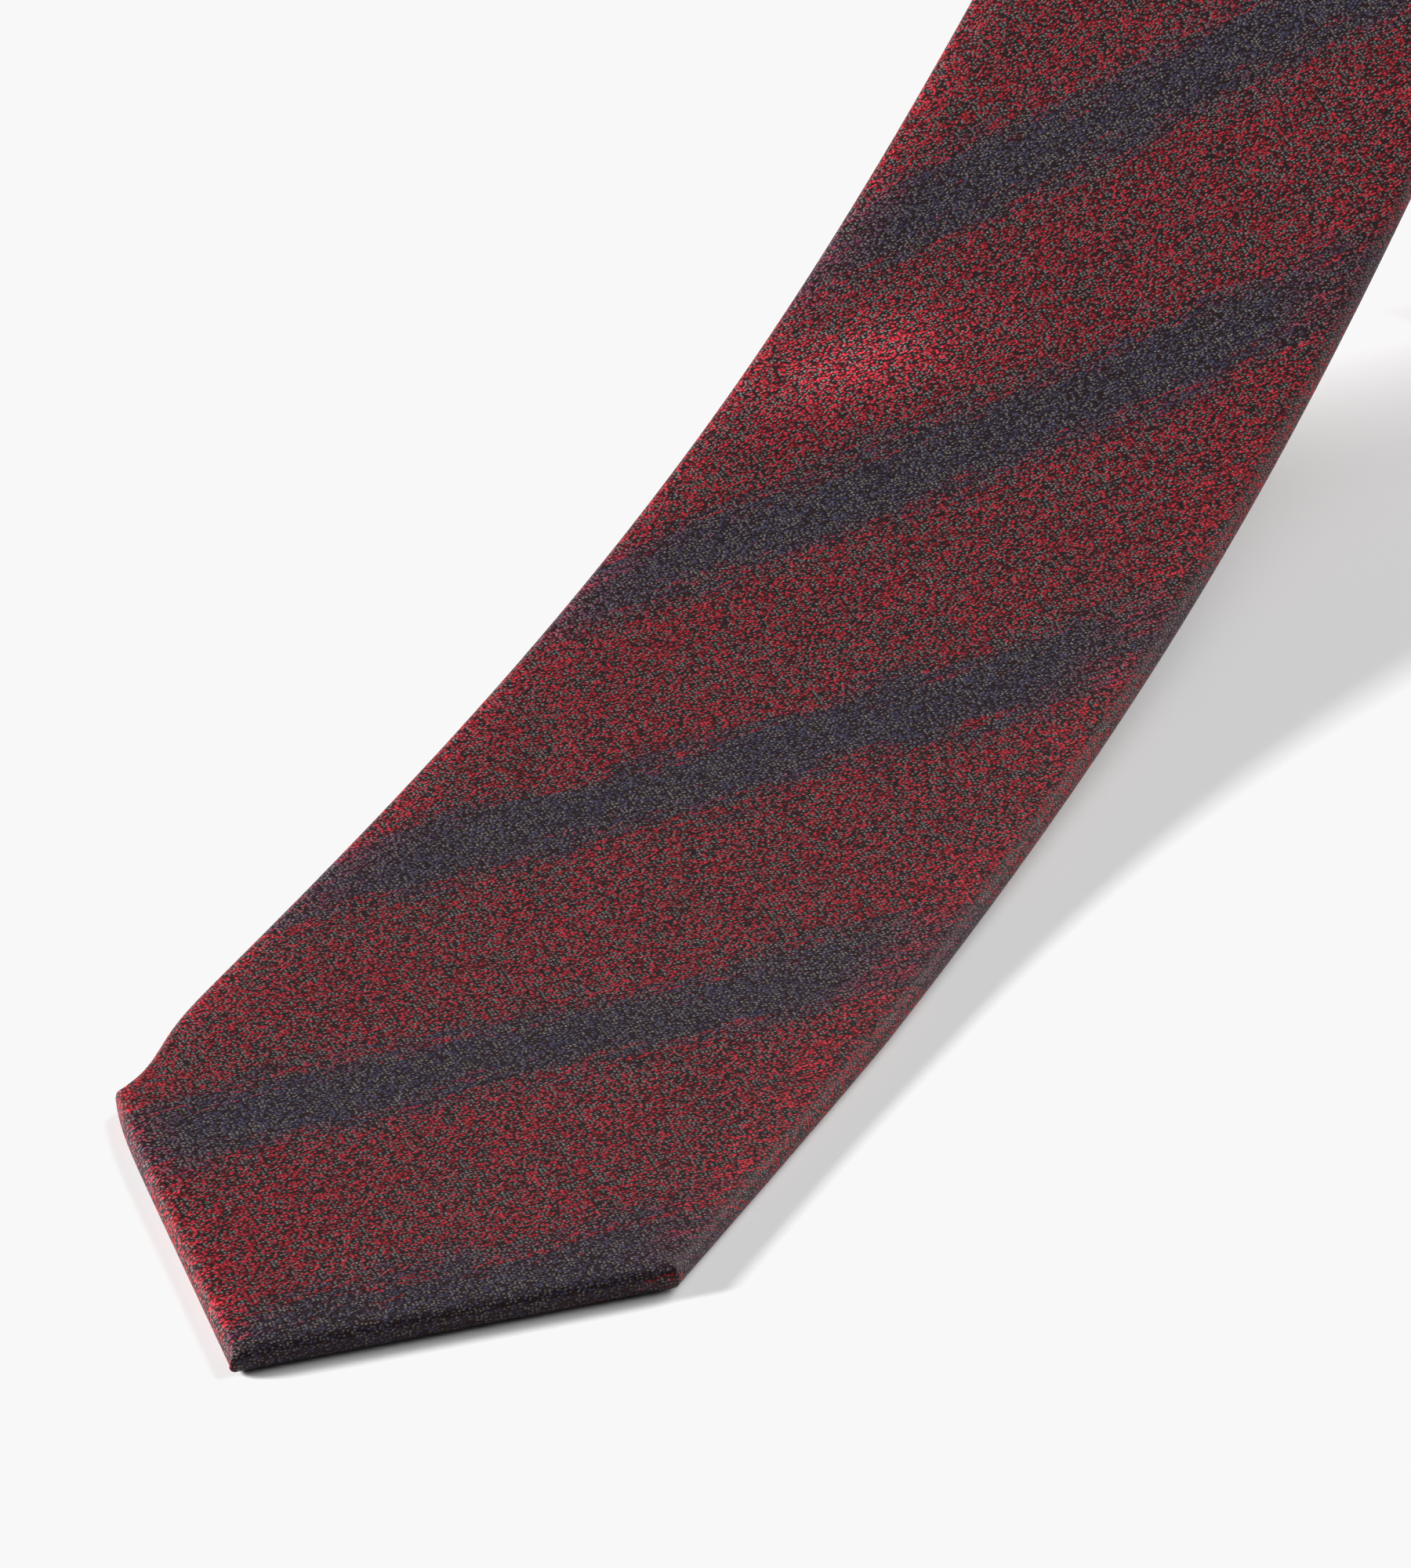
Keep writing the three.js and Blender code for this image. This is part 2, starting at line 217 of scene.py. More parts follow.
@dataclass
class ClothPath:
    """The line that the middle of the folded cloth follows, in the YZ plane."""

    tie_length: float = 1480.0
    thick: float = 3.9
    flat_length: float = 40.0
    leave_angle: float = 31.0
    steps_to_floor: int = 14
    core_radius: float = 12.0
    wrap_ease: float = 1.0
    blunt: float = 0.4
    step: float = 0.5

    def __post_init__(self) -> None:
        """Solve the rising stretch, trace the line and put it where the frame's tip is."""
        self.pitch = self.thick + self.wrap_ease
        self.leave = math.radians(self.leave_angle)
        count, passes = 400, 60
        places = (np.arange(count) + 0.5) / count
        share = float(np.sin(self.leave * self._ease(places)).mean())
        rise = self.tie_length / 5
        for _ in range(passes):
            self._size_roll(self.tie_length - self.flat_length - rise)
            rise = (self.stand + self.radius * math.cos(self.turn_out) - self.thick / 2) / share
        self.rise = rise
        self.leave_at = self.flat_length + rise
        self._size_roll(self.tie_length - self.leave_at)
        self._trace()
        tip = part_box("front_shell_tip")[0]
        self.shift = np.array([tip[1] / MM - self.blunt, tip[2] / MM])

    @staticmethod
    def _ease(t: np.ndarray) -> np.ndarray:
        """The slope's share of its steepest, along the rising stretch."""
        return np.where(t < 0.5, 2 * t * t, 1 - 2 * (1 - t) ** 2)

    def _size_roll(self, rolled: float) -> None:
        """Size the roll for a length of rolled cloth."""
        self.radius = math.sqrt(self.core_radius**2 + self.pitch * rolled / math.pi)
        self.per_turn = self.pitch / (2 * math.pi)
        self.turn_out = -self.leave - math.atan(self.per_turn / self.radius)
        step = (math.pi - self.turn_out) / (self.steps_to_floor + 0.5)
        low = self.turn_out + self.steps_to_floor * step
        self.stand = max(-self._outer(low) * math.cos(low), -self._outer(low + step) * math.cos(low + step))

    def _outer(self, turn: float) -> float:
        """Radius of the outer face at a turn of the roll."""
        return self.radius - self.per_turn * (turn - self.turn_out) + self.thick / 2

    def _slope(self, s: float) -> float:
        """Slope of the blade at s."""
        t = min(max((s - self.flat_length) / self.rise, 0.0), 1.0)
        return self.leave * float(self._ease(np.array(t)))

    def _trace(self) -> None:
        """Trace the line in short steps: s, y, z and slope."""
        rows = [(0.0, 0.0, self.thick / 2, 0.0)]
        while rows[-1][0] < self.leave_at:
            s, y, z, _ = rows[-1]
            length = min(self.step, self.leave_at - s)
            slope = self._slope(s + length / 2)
            after = self.leave_at if length < self.step else s + length
            y, z = y + length * math.cos(slope), z + length * math.sin(slope)
            rows.append((after, y, z, self._slope(after)))
        self.centre = (
            rows[-1][1] - self.radius * math.sin(self.turn_out),
            rows[-1][2] - self.radius * math.cos(self.turn_out),
        )
        turn = self.turn_out
        while rows[-1][0] < self.tie_length:
            s = rows[-1][0]
            length = min(self.step, self.tie_length - s)
            turn += length / math.hypot(self.radius - self.per_turn * (turn - self.turn_out), self.per_turn)
            radius = self.radius - self.per_turn * (turn - self.turn_out)
            rows.append(
                (
                    self.tie_length if length < self.step else s + length,
                    self.centre[0] + radius * math.sin(turn),
                    self.centre[1] + radius * math.cos(turn),
                    -turn - math.atan(self.per_turn / radius),
                )
            )
        self.line = np.array(rows)

    def place(self, x: np.ndarray, h: np.ndarray, s: np.ndarray) -> np.ndarray:
        """Turn places on the cloth into points in the row's frame.

        Args:
            x: places across the tie.
            h: heights through it, from its back face to its front face.
            s: places along it.

        Returns:
            Points in metres, one more axis than the arguments.
        """
        x, h, s = np.broadcast_arrays(x, h, s)
        y, z, slope = (np.interp(s, self.line[:, 0], self.line[:, k]) for k in (1, 2, 3))
        off = h - self.thick / 2
        y = y - off * np.sin(slope) + self.shift[0]
        z = z + off * np.cos(slope) + self.shift[1]
        return np.stack([self._worn(x, s), y, self._rest(z)], axis=-1) * MM

    @staticmethod
    def _worn(x: np.ndarray, s: np.ndarray) -> np.ndarray:
        """Draw in the two shoulders of the point a little, unevenly, as handling does."""
        half, right_worn, left_worn = 37.5, 1.3, 1.9
        right = right_worn * np.clip((88 - s) / 50, 0, 1) * np.clip(x / half, 0, 1)
        left = left_worn * bell(s, 41, 8) * np.clip(-x / half, 0, 1) ** 3
        return x - right + left

    @staticmethod
    def _rest(z: np.ndarray) -> np.ndarray:
        """Press what would dip under the table flat on to it, with a soft start."""
        soft = 0.12
        return np.where(z < 4 * soft, soft * np.logaddexp(0, z / soft), z)

    def point(self, x: float, h: float, s: float) -> Vector:
        """One point in metres."""
        return Vector(self.place(np.array(x), np.array(h), np.array(s)).tolist())

    def along(self, s: float) -> Vector:
        """Unit direction of the cloth at s."""
        slope = float(np.interp(s, self.line[:, 0], self.line[:, 3]))
        return Vector((0, math.cos(slope), math.sin(slope)))


# ---------------------------------------------------------------------------------------------
# Meshes


@dataclass
class Grid:
    """A sheet of points in rows and columns, with its place on the flat cloth."""

    points: np.ndarray
    flat: np.ndarray

    def area(self) -> float:
        """The sheet's area in square metres."""
        a = np.diff(self.points, axis=0)[:, :-1]
        b = np.diff(self.points, axis=1)[:-1]
        return float(np.linalg.norm(np.cross(a, b), axis=-1).sum())

    def mesh(self, name: str, close: bool = False) -> Piece:
        """Make the sheet an object.

        Args:
            name: the object's name.
            close: joins the last column to the first.

        Returns:
            A smooth-shaded object with its flat places in a UV map.
        """
        rows, columns = self.points.shape[:2]
        index = np.arange(rows * columns).reshape(rows, columns)
        right = np.roll(index, -1, axis=1) if close else index[:, 1:]
        left = index if close else index[:, :-1]
        quads = np.stack([left[:-1], right[:-1], right[1:], left[1:]], axis=-1).reshape(-1, 4)
        mesh = bpy.data.meshes.new(name)
        mesh.from_pydata(self.points.reshape(-1, 3).tolist(), [], quads.tolist())
        layer = mesh.uv_layers.new(name=CLOTH_UV)
        corners = np.zeros(len(mesh.loops), np.int32)
        mesh.loops.foreach_get("vertex_index", corners)
        layer.data.foreach_set("uv", self.flat.reshape(-1, 2)[corners].ravel().astype(np.float32))
        mesh.shade_smooth()
        return put(name, mesh)

    def solid(self, name: str) -> Piece:
        """Make a swept section an object with closed ends."""
        piece = self.mesh(name, close=True)
        work = bmesh.new()
        work.from_mesh(piece.data)
        rim = [edge for edge in work.edges if edge.is_boundary]
        bmesh.ops.holes_fill(work, edges=rim, sides=0)
        bmesh.ops.recalc_face_normals(work, faces=work.faces)
        work.to_mesh(piece.data)
        work.free()
        return piece


def weld(piece: Piece, gap: float = 2e-6) -> None:
    """Merge points that fall together and drop faces that have no area.

    Args:
        piece: the mesh object.
        gap: points nearer than this, in metres, are one.
    """
    work = bmesh.new()
    work.from_mesh(piece.data)
    bmesh.ops.remove_doubles(work, verts=work.verts, dist=gap)
    bmesh.ops.dissolve_degenerate(work, edges=work.edges, dist=gap)
    loose = [v for v in work.verts if not v.link_faces]
    bmesh.ops.delete(work, geom=loose, context="VERTS")
    work.to_mesh(piece.data)
    work.free()


def settle(piece: Piece) -> Piece:
    """Turn an object and its modifiers into a plain mesh.

    Args:
        piece: the object to evaluate.

    Returns:
        The same object, with the result as its mesh and no modifiers.
    """
    graph = bpy.context.evaluated_depsgraph_get()
    mesh = bpy.data.meshes.new_from_object(piece.evaluated_get(graph), depsgraph=graph)
    old = piece.data
    piece.modifiers.clear()
    piece.data = mesh
    bpy.data.meshes.remove(old)
    return piece


def thicken(piece: Piece, thick: float) -> Piece:
    """Give a sheet its wall, on the inner side.

    Args:
        piece: a sheet whose faces point out.
        thick: the wall in millimetres.

    Returns:
        The same object.
    """
    solid = piece.modifiers.new("wall", "SOLIDIFY")
    solid.thickness = thick * MM
    solid.offset = -1
    solid.use_even_offset = False
    settle(piece)
    piece.data.shade_smooth()
    return piece


def sweep(path: ClothPath, rows: np.ndarray, section: Callable[[float], list[Pair]]) -> Grid:
    """Sweep a closed section along the cloth.

    Args:
        path: the cloth's line.
        rows: places along it.
        section: gives the outline at a place, as pairs of x and height.

    Returns:
        A grid whose columns close on themselves.
    """
    outlines = np.array([section(float(s)) for s in rows])
    x, h = outlines[..., 0], outlines[..., 1]
    s = np.broadcast_to(rows[:, None], x.shape)
    return Grid(path.place(x, h, s), np.stack([x, s], axis=-1) * MM)


def band(half: float, low: float, high: float, per_side: int = 24) -> list[Pair]:
    """A flat band's section with round edges.

    Args:
        half: half its width.
        low: height of its lower face.
        high: height of its upper face.
        per_side: how many stretches each face has.

    Returns:
        Pairs of x and height, in order round the band.
    """
    middle, radius = (low + high) / 2, (high - low) / 2
    round_off = min(radius, half / 2)
    steps = 6
    turns = [math.pi * k / steps for k in range(steps + 1)]
    across = [half - round_off - 2 * (half - round_off) * k / per_side for k in range(per_side + 1)]
    right = [(half - round_off + round_off * math.sin(t), middle - radius * math.cos(t)) for t in turns]
    left = [(-x, 2 * middle - h) for x, h in right]
    top = [(x, high) for x in across[1:-1]]
    bottom = [(-x, low) for x in across[1:-1]]
    return [*right, *top, *left, *bottom]


# ---------------------------------------------------------------------------------------------
# Finishes


def new_material(name: str) -> tuple[bpy.types.Material, bpy.types.Node]:
    """Make a node material and hand back its Principled shader.

    Args:
        name: the material's name.

    Returns:
        The material and its shader.
    """
    material = bpy.data.materials.new(name)
    material.use_nodes = True
    return material, material.node_tree.nodes["Principled BSDF"]


class Wiring:
    """Short hand for adding nodes to a tree and joining them."""

    def __init__(self, tree: bpy.types.NodeTree) -> None:
        """Keep the tree."""
        self.tree = tree

    def add(self, kind: str, feeds: dict[str, object] | None = None, **settings: object) -> bpy.types.Node:
        """Add a node, set its properties and feed its inputs by name."""
        node = self.tree.nodes.new(kind)
        for key, value in settings.items():
            setattr(node, key, value)
        for label, value in (feeds or {}).items():
            self.feed(node.inputs[label], value)
        return node

    def feed(self, socket: Socket, value: object) -> None:
        """Join a socket to another, or set its value."""
        if isinstance(value, Socket):
            self.tree.links.new(value, socket)
        else:
            socket.default_value = value

    def math(self, operation: str, *values: object, clamp: bool = False) -> Socket:
        """A Math node's result."""
        node = self.add("ShaderNodeMath", operation=operation, use_clamp=clamp)
        for socket, value in zip(node.inputs, values):
            self.feed(socket, value)
        return node.outputs[0]

    def ramp(self, value: object, low: float, high: float) -> Socket:
        """A smooth step from low to high, from 0 to 1."""
        feeds = {"Value": value, "From Min": low, "From Max": high}
        return self.add("ShaderNodeMapRange", feeds, interpolation_type="SMOOTHSTEP").outputs["Result"]

    def around(self, value: object, gain: float, base: object) -> Socket:
        """How far a value is from a half, times a gain, on top of a base."""
        return self.math("MULTIPLY_ADD", self.math("SUBTRACT", value, 0.5), gain, base)

    def mix(self, share: object, first: object, second: object, blend: str = "MIX") -> Socket:
        """Two colours mixed."""
        node = self.add("ShaderNodeMix", data_type="RGBA", blend_type=blend)
        self.feed(node.inputs["Factor"], share)
        self.feed(node.inputs[6], first)
        self.feed(node.inputs[7], second)
        return node.outputs[2]

    def vector(self, x: object, y: object, z: object = 0.0) -> Socket:
        """Three numbers as a vector."""
        node = self.add("ShaderNodeCombineXYZ")
        for socket, value in zip(node.inputs, (x, y, z)):
            self.feed(socket, value)
        return node.outputs[0]

    def tint(self, colour: object, strength: Socket) -> Socket:
        """A colour made brighter or darker."""
        return self.mix(1.0, colour, self.vector(strength, strength, strength), "MULTIPLY")

    def bump(self, height: object, distance: float, strength: float = 1.0) -> Socket:
        """A normal that leans with a height."""
        feeds = {"Strength": strength, "Distance": distance, "Height": height}
        return self.add("ShaderNodeBump", feeds).outputs[0]

    def noise(
        self, along: object, across: object, size: Pair, detail: float, rough: float = 0.5
    ) -> Socket:
        """Noise on the cloth, about 0 to 1.

        Args:
            along: place along the threads.
            across: place across them.
            size: length and width of its streaks, in millimetres.
            detail: how many finer layers it has.
            rough: how strong those are.

        Returns:
            The noise.
        """
        place = self.vector(self.math("DIVIDE", along, size[0]), self.math("DIVIDE", across, size[1]))
        feeds = {"Vector": place, "Scale": 1.0, "Detail": detail, "Roughness": rough}
        return self.add("ShaderNodeTexNoise", feeds, noise_dimensions="2D").outputs[0]


def make_group(
    name: str, inputs: dict[str, object], outputs: dict[str, str]
) -> tuple[bpy.types.NodeTree, Wiring, bpy.types.Node, bpy.types.Node]:
    """Make a shader node group with named sockets.

    Args:
        name: the group's name.
        inputs: each input's name and default, a number or a colour.
        outputs: each output's name and socket type.

    Returns:
        The group, its wiring, and its input and output nodes.
    """
    tree = bpy.data.node_groups.new(name, "ShaderNodeTree")
    for label, value in inputs.items():
        kind = "NodeSocketFloat" if isinstance(value, (int, float)) else "NodeSocketColor"
        socket = tree.interface.new_socket(label, in_out="INPUT", socket_type=kind)
        socket.default_value = value
    for label, kind in outputs.items():
        tree.interface.new_socket(label, in_out="OUTPUT", socket_type=kind)
    wiring = Wiring(tree)
    return tree, wiring, wiring.add("NodeGroupInput"), wiring.add("NodeGroupOutput")


class Weave:
    """Node groups that every cloth of the tie shares."""

    def __init__(self) -> None:
        """Build the groups once."""
        self.lie = self._lie()
        self.threads = self._threads()

    @staticmethod
    def _lie() -> bpy.types.NodeTree:
        """Turn the flat cloth's places to the lie of its threads, in millimetres."""
        kinds = {"Along": "NodeSocketFloat", "Across": "NodeSocketFloat"}
        tree, w, given, out = make_group("thread_lie", {"Angle": 0.0}, kinds)
        uv = w.add("ShaderNodeUVMap", uv_map=CLOTH_UV)
        split = w.add("ShaderNodeSeparateXYZ", {"Vector": uv.outputs[0]})
        x, y = (w.math("MULTIPLY", split.outputs[k], 1 / MM) for k in (0, 1))
        cos = w.math("COSINE", given.outputs["Angle"])
        sin = w.math("SINE", given.outputs["Angle"])
        along = w.math("ADD", w.math("MULTIPLY", x, cos), w.math("MULTIPLY", y, sin))
        across = w.math("SUBTRACT", w.math("MULTIPLY", y, cos), w.math("MULTIPLY", x, sin))
        w.feed(out.inputs["Along"], along)
        w.feed(out.inputs["Across"], across)
        return tree

    @staticmethod
    def _threads() -> bpy.types.NodeTree:
        """Single floats of thread: three random values for each, and how far its crown stands up."""
        randoms = ("Pick", "Shade", "Tone")
        tree, w, given, out = make_group(
            "thread_floats",
            {"Along": 0.0, "Across": 0.0, "Length": 0.45, "Pitch": 0.3, "Order": 0.5},
            {name: "NodeSocketFloat" for name in (*randoms, "Crown")},
        )
        place = w.vector(
            w.math("DIVIDE", given.outputs["Along"], given.outputs["Length"]),
            w.math("DIVIDE", given.outputs["Across"], given.outputs["Pitch"]),
        )
        feeds = {"Vector": place, "Scale": 1.0, "Randomness": given.outputs["Order"]}
        cells = w.add("ShaderNodeTexVoronoi", feeds, voronoi_dimensions="2D", feature="F1")
        split = w.add("ShaderNodeSeparateColor", {"Color": cells.outputs["Color"]})
        for name, value in zip(randoms, split.outputs):
            w.feed(out.inputs[name], value)
        w.feed(out.inputs["Crown"], w.math("SUBTRACT", 1.0, cells.outputs["Distance"], clamp=True))
        return tree

    def lay(
        self, w: Wiring, angle: float, length: float, pitch: float, order: float
    ) -> tuple[Socket, ...]:
        """Place both groups in a material.

        Args:
            w: the material's wiring.
            angle: the lie of the threads.
            length: how long a float of thread is.
            pitch: from one thread to the next.
            order: 0 for a regular weave, 1 for a random one.

        Returns:
            Places along and across the threads, then Pick, Shade, Tone and Crown.
        """
        lie = w.add("ShaderNodeGroup", {"Angle": angle}, node_tree=self.lie)
        given = {"Along": lie.outputs["Along"], "Across": lie.outputs["Across"]}
        size = {"Length": length, "Pitch": pitch, "Order": order}
        floats = w.add("ShaderNodeGroup", {**given, **size}, node_tree=self.threads)
        return (*given.values(), *(floats.outputs[name] for name in ("Pick", "Shade", "Tone", "Crown")))


@dataclass(frozen=True)
class SilkFinish:
    """Burgundy satin with blurred navy bias stripes, the two wefts showing as specks and streaks; red
    highlights and a soft sheen are painted into its colour.
    """

    name: str = "silk_satin"
    lie: float = math.radians(51.1)
    length: float = 0.46
    pitch: float = 0.27
    order: float = 0.75
    stripe_period: float = 39.1
    stripe_start: float = 38.6
    stripe_half: float = 5.9
    feather: float = 3.4
    red: Colour = (0.252, 0.0125, 0.0215, 1)
    navy: Colour = (0.030, 0.031, 0.060, 1)
    warp: Colour = (0.112, 0.100, 0.099, 1)
    gap: Colour = (0.008, 0.004, 0.005, 1)
    painted_glint: Colour = (0.43, 0.022, 0.032, 1)
    slub: Pair = (10.0, 0.36)
    worn: Pair = (26.0, 9.0)
    sway: Pair = (34.0, 30.0)
    streak: Pair = (8.0, 0.34)
    broad: Pair = (16.0, 1.9)
    weft_shows: Pair = (0.50, 0.54)
    gap_shows: Pair = (0.19, 0.14)
    painted_glint_shows: Pair = (0.44, 0.58)
    weft_crown: Pair = (0.40, 0.80)
    warp_crown: Pair = (0.52, 0.90)
    tip_shift: float = 2.4
    tip_reach: float = 9.0

    def material(self, weave: Weave) -> bpy.types.Material:
        """Make the satin.

        Args:
            weave: the shared node groups.

        Returns:
            The material.
        """
        material, shader = new_material(self.name)
        w = Wiring(material.node_tree)
        along, across, pick, shade, tone, crown = weave.lay(w, self.lie, self.length, self.pitch, self.order)
        slub = w.noise(along, across, self.slub, 3.0, 0.6)
        worn = w.noise(along, across, self.worn, 2.0)
        # Painted highlight: the edge attribute mixes the bright glint red into the weft near the edges and in
        # one patch, standing in for the satin's sheen.
        edge = w.add("ShaderNodeAttribute", attribute_name=PAINTED_GLINT)
        rim = w.math("MULTIPLY", edge.outputs["Fac"], w.ramp(slub, *self.painted_glint_shows))
        weft = w.mix(rim, w.mix(self._stripe(w, along, across), self.red, self.navy), self.painted_glint)
        weft = w.tint(weft, w.math("MULTIPLY_ADD", shade, 1.3, 0.35))
        weft = w.tint(weft, w.math("MULTIPLY_ADD", w.ramp(crown, *self.weft_crown), 0.90, 0.10))
        warp = w.tint(self.warp, w.math("MULTIPLY_ADD", tone, 1.2, 0.4))
        warp = w.tint(warp, w.math("MULTIPLY_ADD", w.ramp(crown, *self.warp_crown), 0.95, 0.05))
        fibres = w.around(worn, 0.35, w.around(slub, -1.0, pick))
        fibres = w.math("SUBTRACT", fibres, w.math("MULTIPLY", rim, 0.3))
        cloth = w.mix(w.ramp(fibres, *self.weft_shows), weft, warp)
        cloth = w.mix(w.ramp(tone, *self.gap_shows), cloth, self.gap)
        # Painted sheen: this attribute brightens the base colour in one soft patch on the blade and along the
        # turn of the left edge.
        painted_sheen = w.add("ShaderNodeAttribute", attribute_name=PAINTED_SHEEN)
        w.feed(shader.inputs["Base Color"], w.tint(cloth, w.math("ADD", painted_sheen.outputs["Fac"], 1.0)))
        w.feed(shader.inputs["Roughness"], w.math("MULTIPLY_ADD", shade, 0.16, 0.46))
        w.feed(shader.inputs["Normal"], w.bump(crown, 0.00012, 0.5))
        gloss = {"IOR": 1.35, "Specular IOR Level": 0.4, "Specular Tint": (1.0, 0.62, 0.62, 1)}
        sheen = {"Sheen Weight": 0.04, "Sheen Roughness": 0.4, "Sheen Tint": (1.0, 0.55, 0.55, 1)}
        for label, value in {**gloss, **sheen}.items():
            shader.inputs[label].default_value = value
        return material

    def _stripe(self, w: Wiring, along: object, across: object) -> Socket:
        """How much of the weft is navy, thread by thread."""
        sway = w.noise(along, across, self.sway, 1.0)
        placed = w.around(sway, 4.5, across)
        placed = w.math("MULTIPLY_ADD", w.ramp(across, self.tip_reach, 0.0), self.tip_shift, placed)
        turn = w.math("DIVIDE", w.math("SUBTRACT", placed, self.stripe_start), self.stripe_period)
        part = w.math("SUBTRACT", w.math("FRACT", w.math("ADD", turn, 0.5)), 0.5)
        away = w.math("MULTIPLY", w.math("ABSOLUTE", part), self.stripe_period)
        streak = w.noise(along, across, self.streak, 3.0, 0.6)
        broad = w.noise(along, across, self.broad, 2.0)
        ragged = w.around(broad, 2.4 * self.feather, w.around(streak, 5.0 * self.feather, away))
        return w.math("SUBTRACT", 1.0, w.ramp(ragged, self.stripe_half - 0.5, self.stripe_half + 0.9))


@dataclass(frozen=True)
class PlainClothFinish:
    """A cloth of one colour, with its threads."""

    name: str
    colour: Colour
    shadow: Colour
    lie: float = math.radians(45)
    length: float = 0.9
    pitch: float = 0.4
    order: float = 0.3
    cloud: Pair = (12.5, 12.5)
    rough: float = 0.8
    sheen: float = 0.1

    def material(self, weave: Weave) -> bpy.types.Material:
        """Make the cloth.

        Args:
            weave: the shared node groups.

        Returns:
            The material.
        """
        material, shader = new_material(self.name)
        w = Wiring(material.node_tree)
        along, across, pick, shade, _, crown = weave.lay(w, self.lie, self.length, self.pitch, self.order)
        cloud = w.noise(along, across, self.cloud, 3.0)
        share = w.math("MULTIPLY_ADD", shade, 0.45, w.math("MULTIPLY", cloud, 0.5))
        share = w.math("MULTIPLY", share, w.ramp(crown, 0.25, 0.75))
        w.feed(shader.inputs["Base Color"], w.mix(share, self.shadow, self.colour))
        w.feed(shader.inputs["Roughness"], w.math("MULTIPLY_ADD", pick, 0.12, self.rough - 0.06))
        w.feed(shader.inputs["Normal"], w.bump(crown, 0.0002, 0.7))
        shader.inputs["Sheen Weight"].default_value = self.sheen
        return material


@dataclass(frozen=True)
class ThreadFinish:
    """Twisted sewing silk: plies wind round each stitch."""

    name: str = "sewing_thread"
    light: Colour = (0.33, 0.05, 0.06, 1)
    dark: Colour = (0.07, 0.008, 0.012, 1)
    ply: float = 0.00032

    def material(self) -> bpy.types.Material:
        """Make the thread."""
        material, shader = new_material(self.name)
        w = Wiring(material.node_tree)
        place = w.add("ShaderNodeTexCoord")
        split = w.add("ShaderNodeSeparateXYZ", {"Vector": place.outputs["Object"]})
        lean = w.math("ADD", split.outputs[0], w.math("ADD", split.outputs[1], split.outputs[2]))
        wave = w.math("SINE", w.math("MULTIPLY", lean, 2 * math.pi / self.ply))
        crown = w.math("MULTIPLY_ADD", wave, 0.5, 0.5)
        w.feed(shader.inputs["Base Color"], w.mix(crown, self.dark, self.light))
        w.feed(shader.inputs["Roughness"], w.math("MULTIPLY_ADD", crown, -0.15, 0.6))
        w.feed(shader.inputs["Normal"], w.bump(crown, 0.00006))
        shader.inputs["Sheen Weight"].default_value = 0.2
        return material


@dataclass(frozen=True)
class WovenLabelFinish:
    """A damask label or ribbon with a plain woven frame and nothing written on it."""

    name: str
    ground: Colour
    frame: Colour
    middle: Pair
    half: Pair
    line: float = 0.5
    rough: float = 0.5

    def material(self, weave: Weave) -> bpy.types.Material:
        """Make the label's cloth, with its frame drawn on the flat cloth's places.

        Args:
            weave: the shared node groups.

        Returns:
            The material.
        """
        material, shader = new_material(self.name)
        w = Wiring(material.node_tree)
        across, along, _, shade, _, crown = weave.lay(w, 0.0, 0.5, 0.18, 0.15)
        past = []
        for place, middle, half in zip((across, along), self.middle, self.half):
            past.append(w.math("SUBTRACT", w.math("ABSOLUTE", w.math("SUBTRACT", place, middle)), half))
        off = w.math("ABSOLUTE", w.math("MAXIMUM", *past))
        frame = w.math("SUBTRACT", 1.0, w.ramp(off, self.line * 0.7, self.line))
        colour = w.tint(w.mix(frame, self.ground, self.frame), w.math("MULTIPLY_ADD", shade, 0.3, 0.75))
        w.feed(shader.inputs["Base Color"], colour)
        w.feed(shader.inputs["Roughness"], w.math("MULTIPLY_ADD", frame, 0.15, self.rough))
        w.feed(shader.inputs["Normal"], w.bump(w.math("MULTIPLY_ADD", frame, 0.5, crown), 0.0001))
        return material


class Wardrobe:
    """Every finish of the tie, made once, by its slot."""

    def __init__(self) -> None:
        """Make the materials."""
        weave = Weave()
        wool = PlainClothFinish(
            "wool_interlining", (0.66, 0.6, 0.48, 1), (0.3, 0.26, 0.2, 1), pitch=0.7, rough=0.95, sheen=0.3
        )
        twill = PlainClothFinish(
            "tipping_twill", (0.16, 0.018, 0.028, 1), (0.03, 0.004, 0.008, 1), pitch=0.25, rough=0.5
        )
        damask = WovenLabelFinish(
            "label_damask", (0.022, 0.026, 0.045, 1), (0.32, 0.27, 0.2, 1), (0, 185), (21.5, 14.5)
        )
        ribbon = WovenLabelFinish(
            "care_ribbon", (0.8, 0.78, 0.72, 1), (0.62, 0.6, 0.56, 1), (0, 13), (8.2, 11.2), 0.35, 0.42
        )
        self.finishes = {
            Slot.SILK: SilkFinish().material(weave),
            Slot.CANVAS: wool.material(weave),
            Slot.LINING: twill.material(weave),
            Slot.THREAD: ThreadFinish().material(),
            Slot.LABEL: damask.material(weave),
            Slot.TAG: ribbon.material(weave),
        }

    def dress(self, piece: Piece, slot: Slot, *nodes: str) -> None:
        """Give a piece the finish of its slot, and hide the nodes that it stands for."""
        piece.data.materials.clear()
        piece.data.materials.append(self.finishes[slot])
        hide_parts(*nodes)
        LOG.info("%s: %d faces", piece.name, len(piece.data.polygons))


# ---------------------------------------------------------------------------------------------
# The tie's own frame of reference


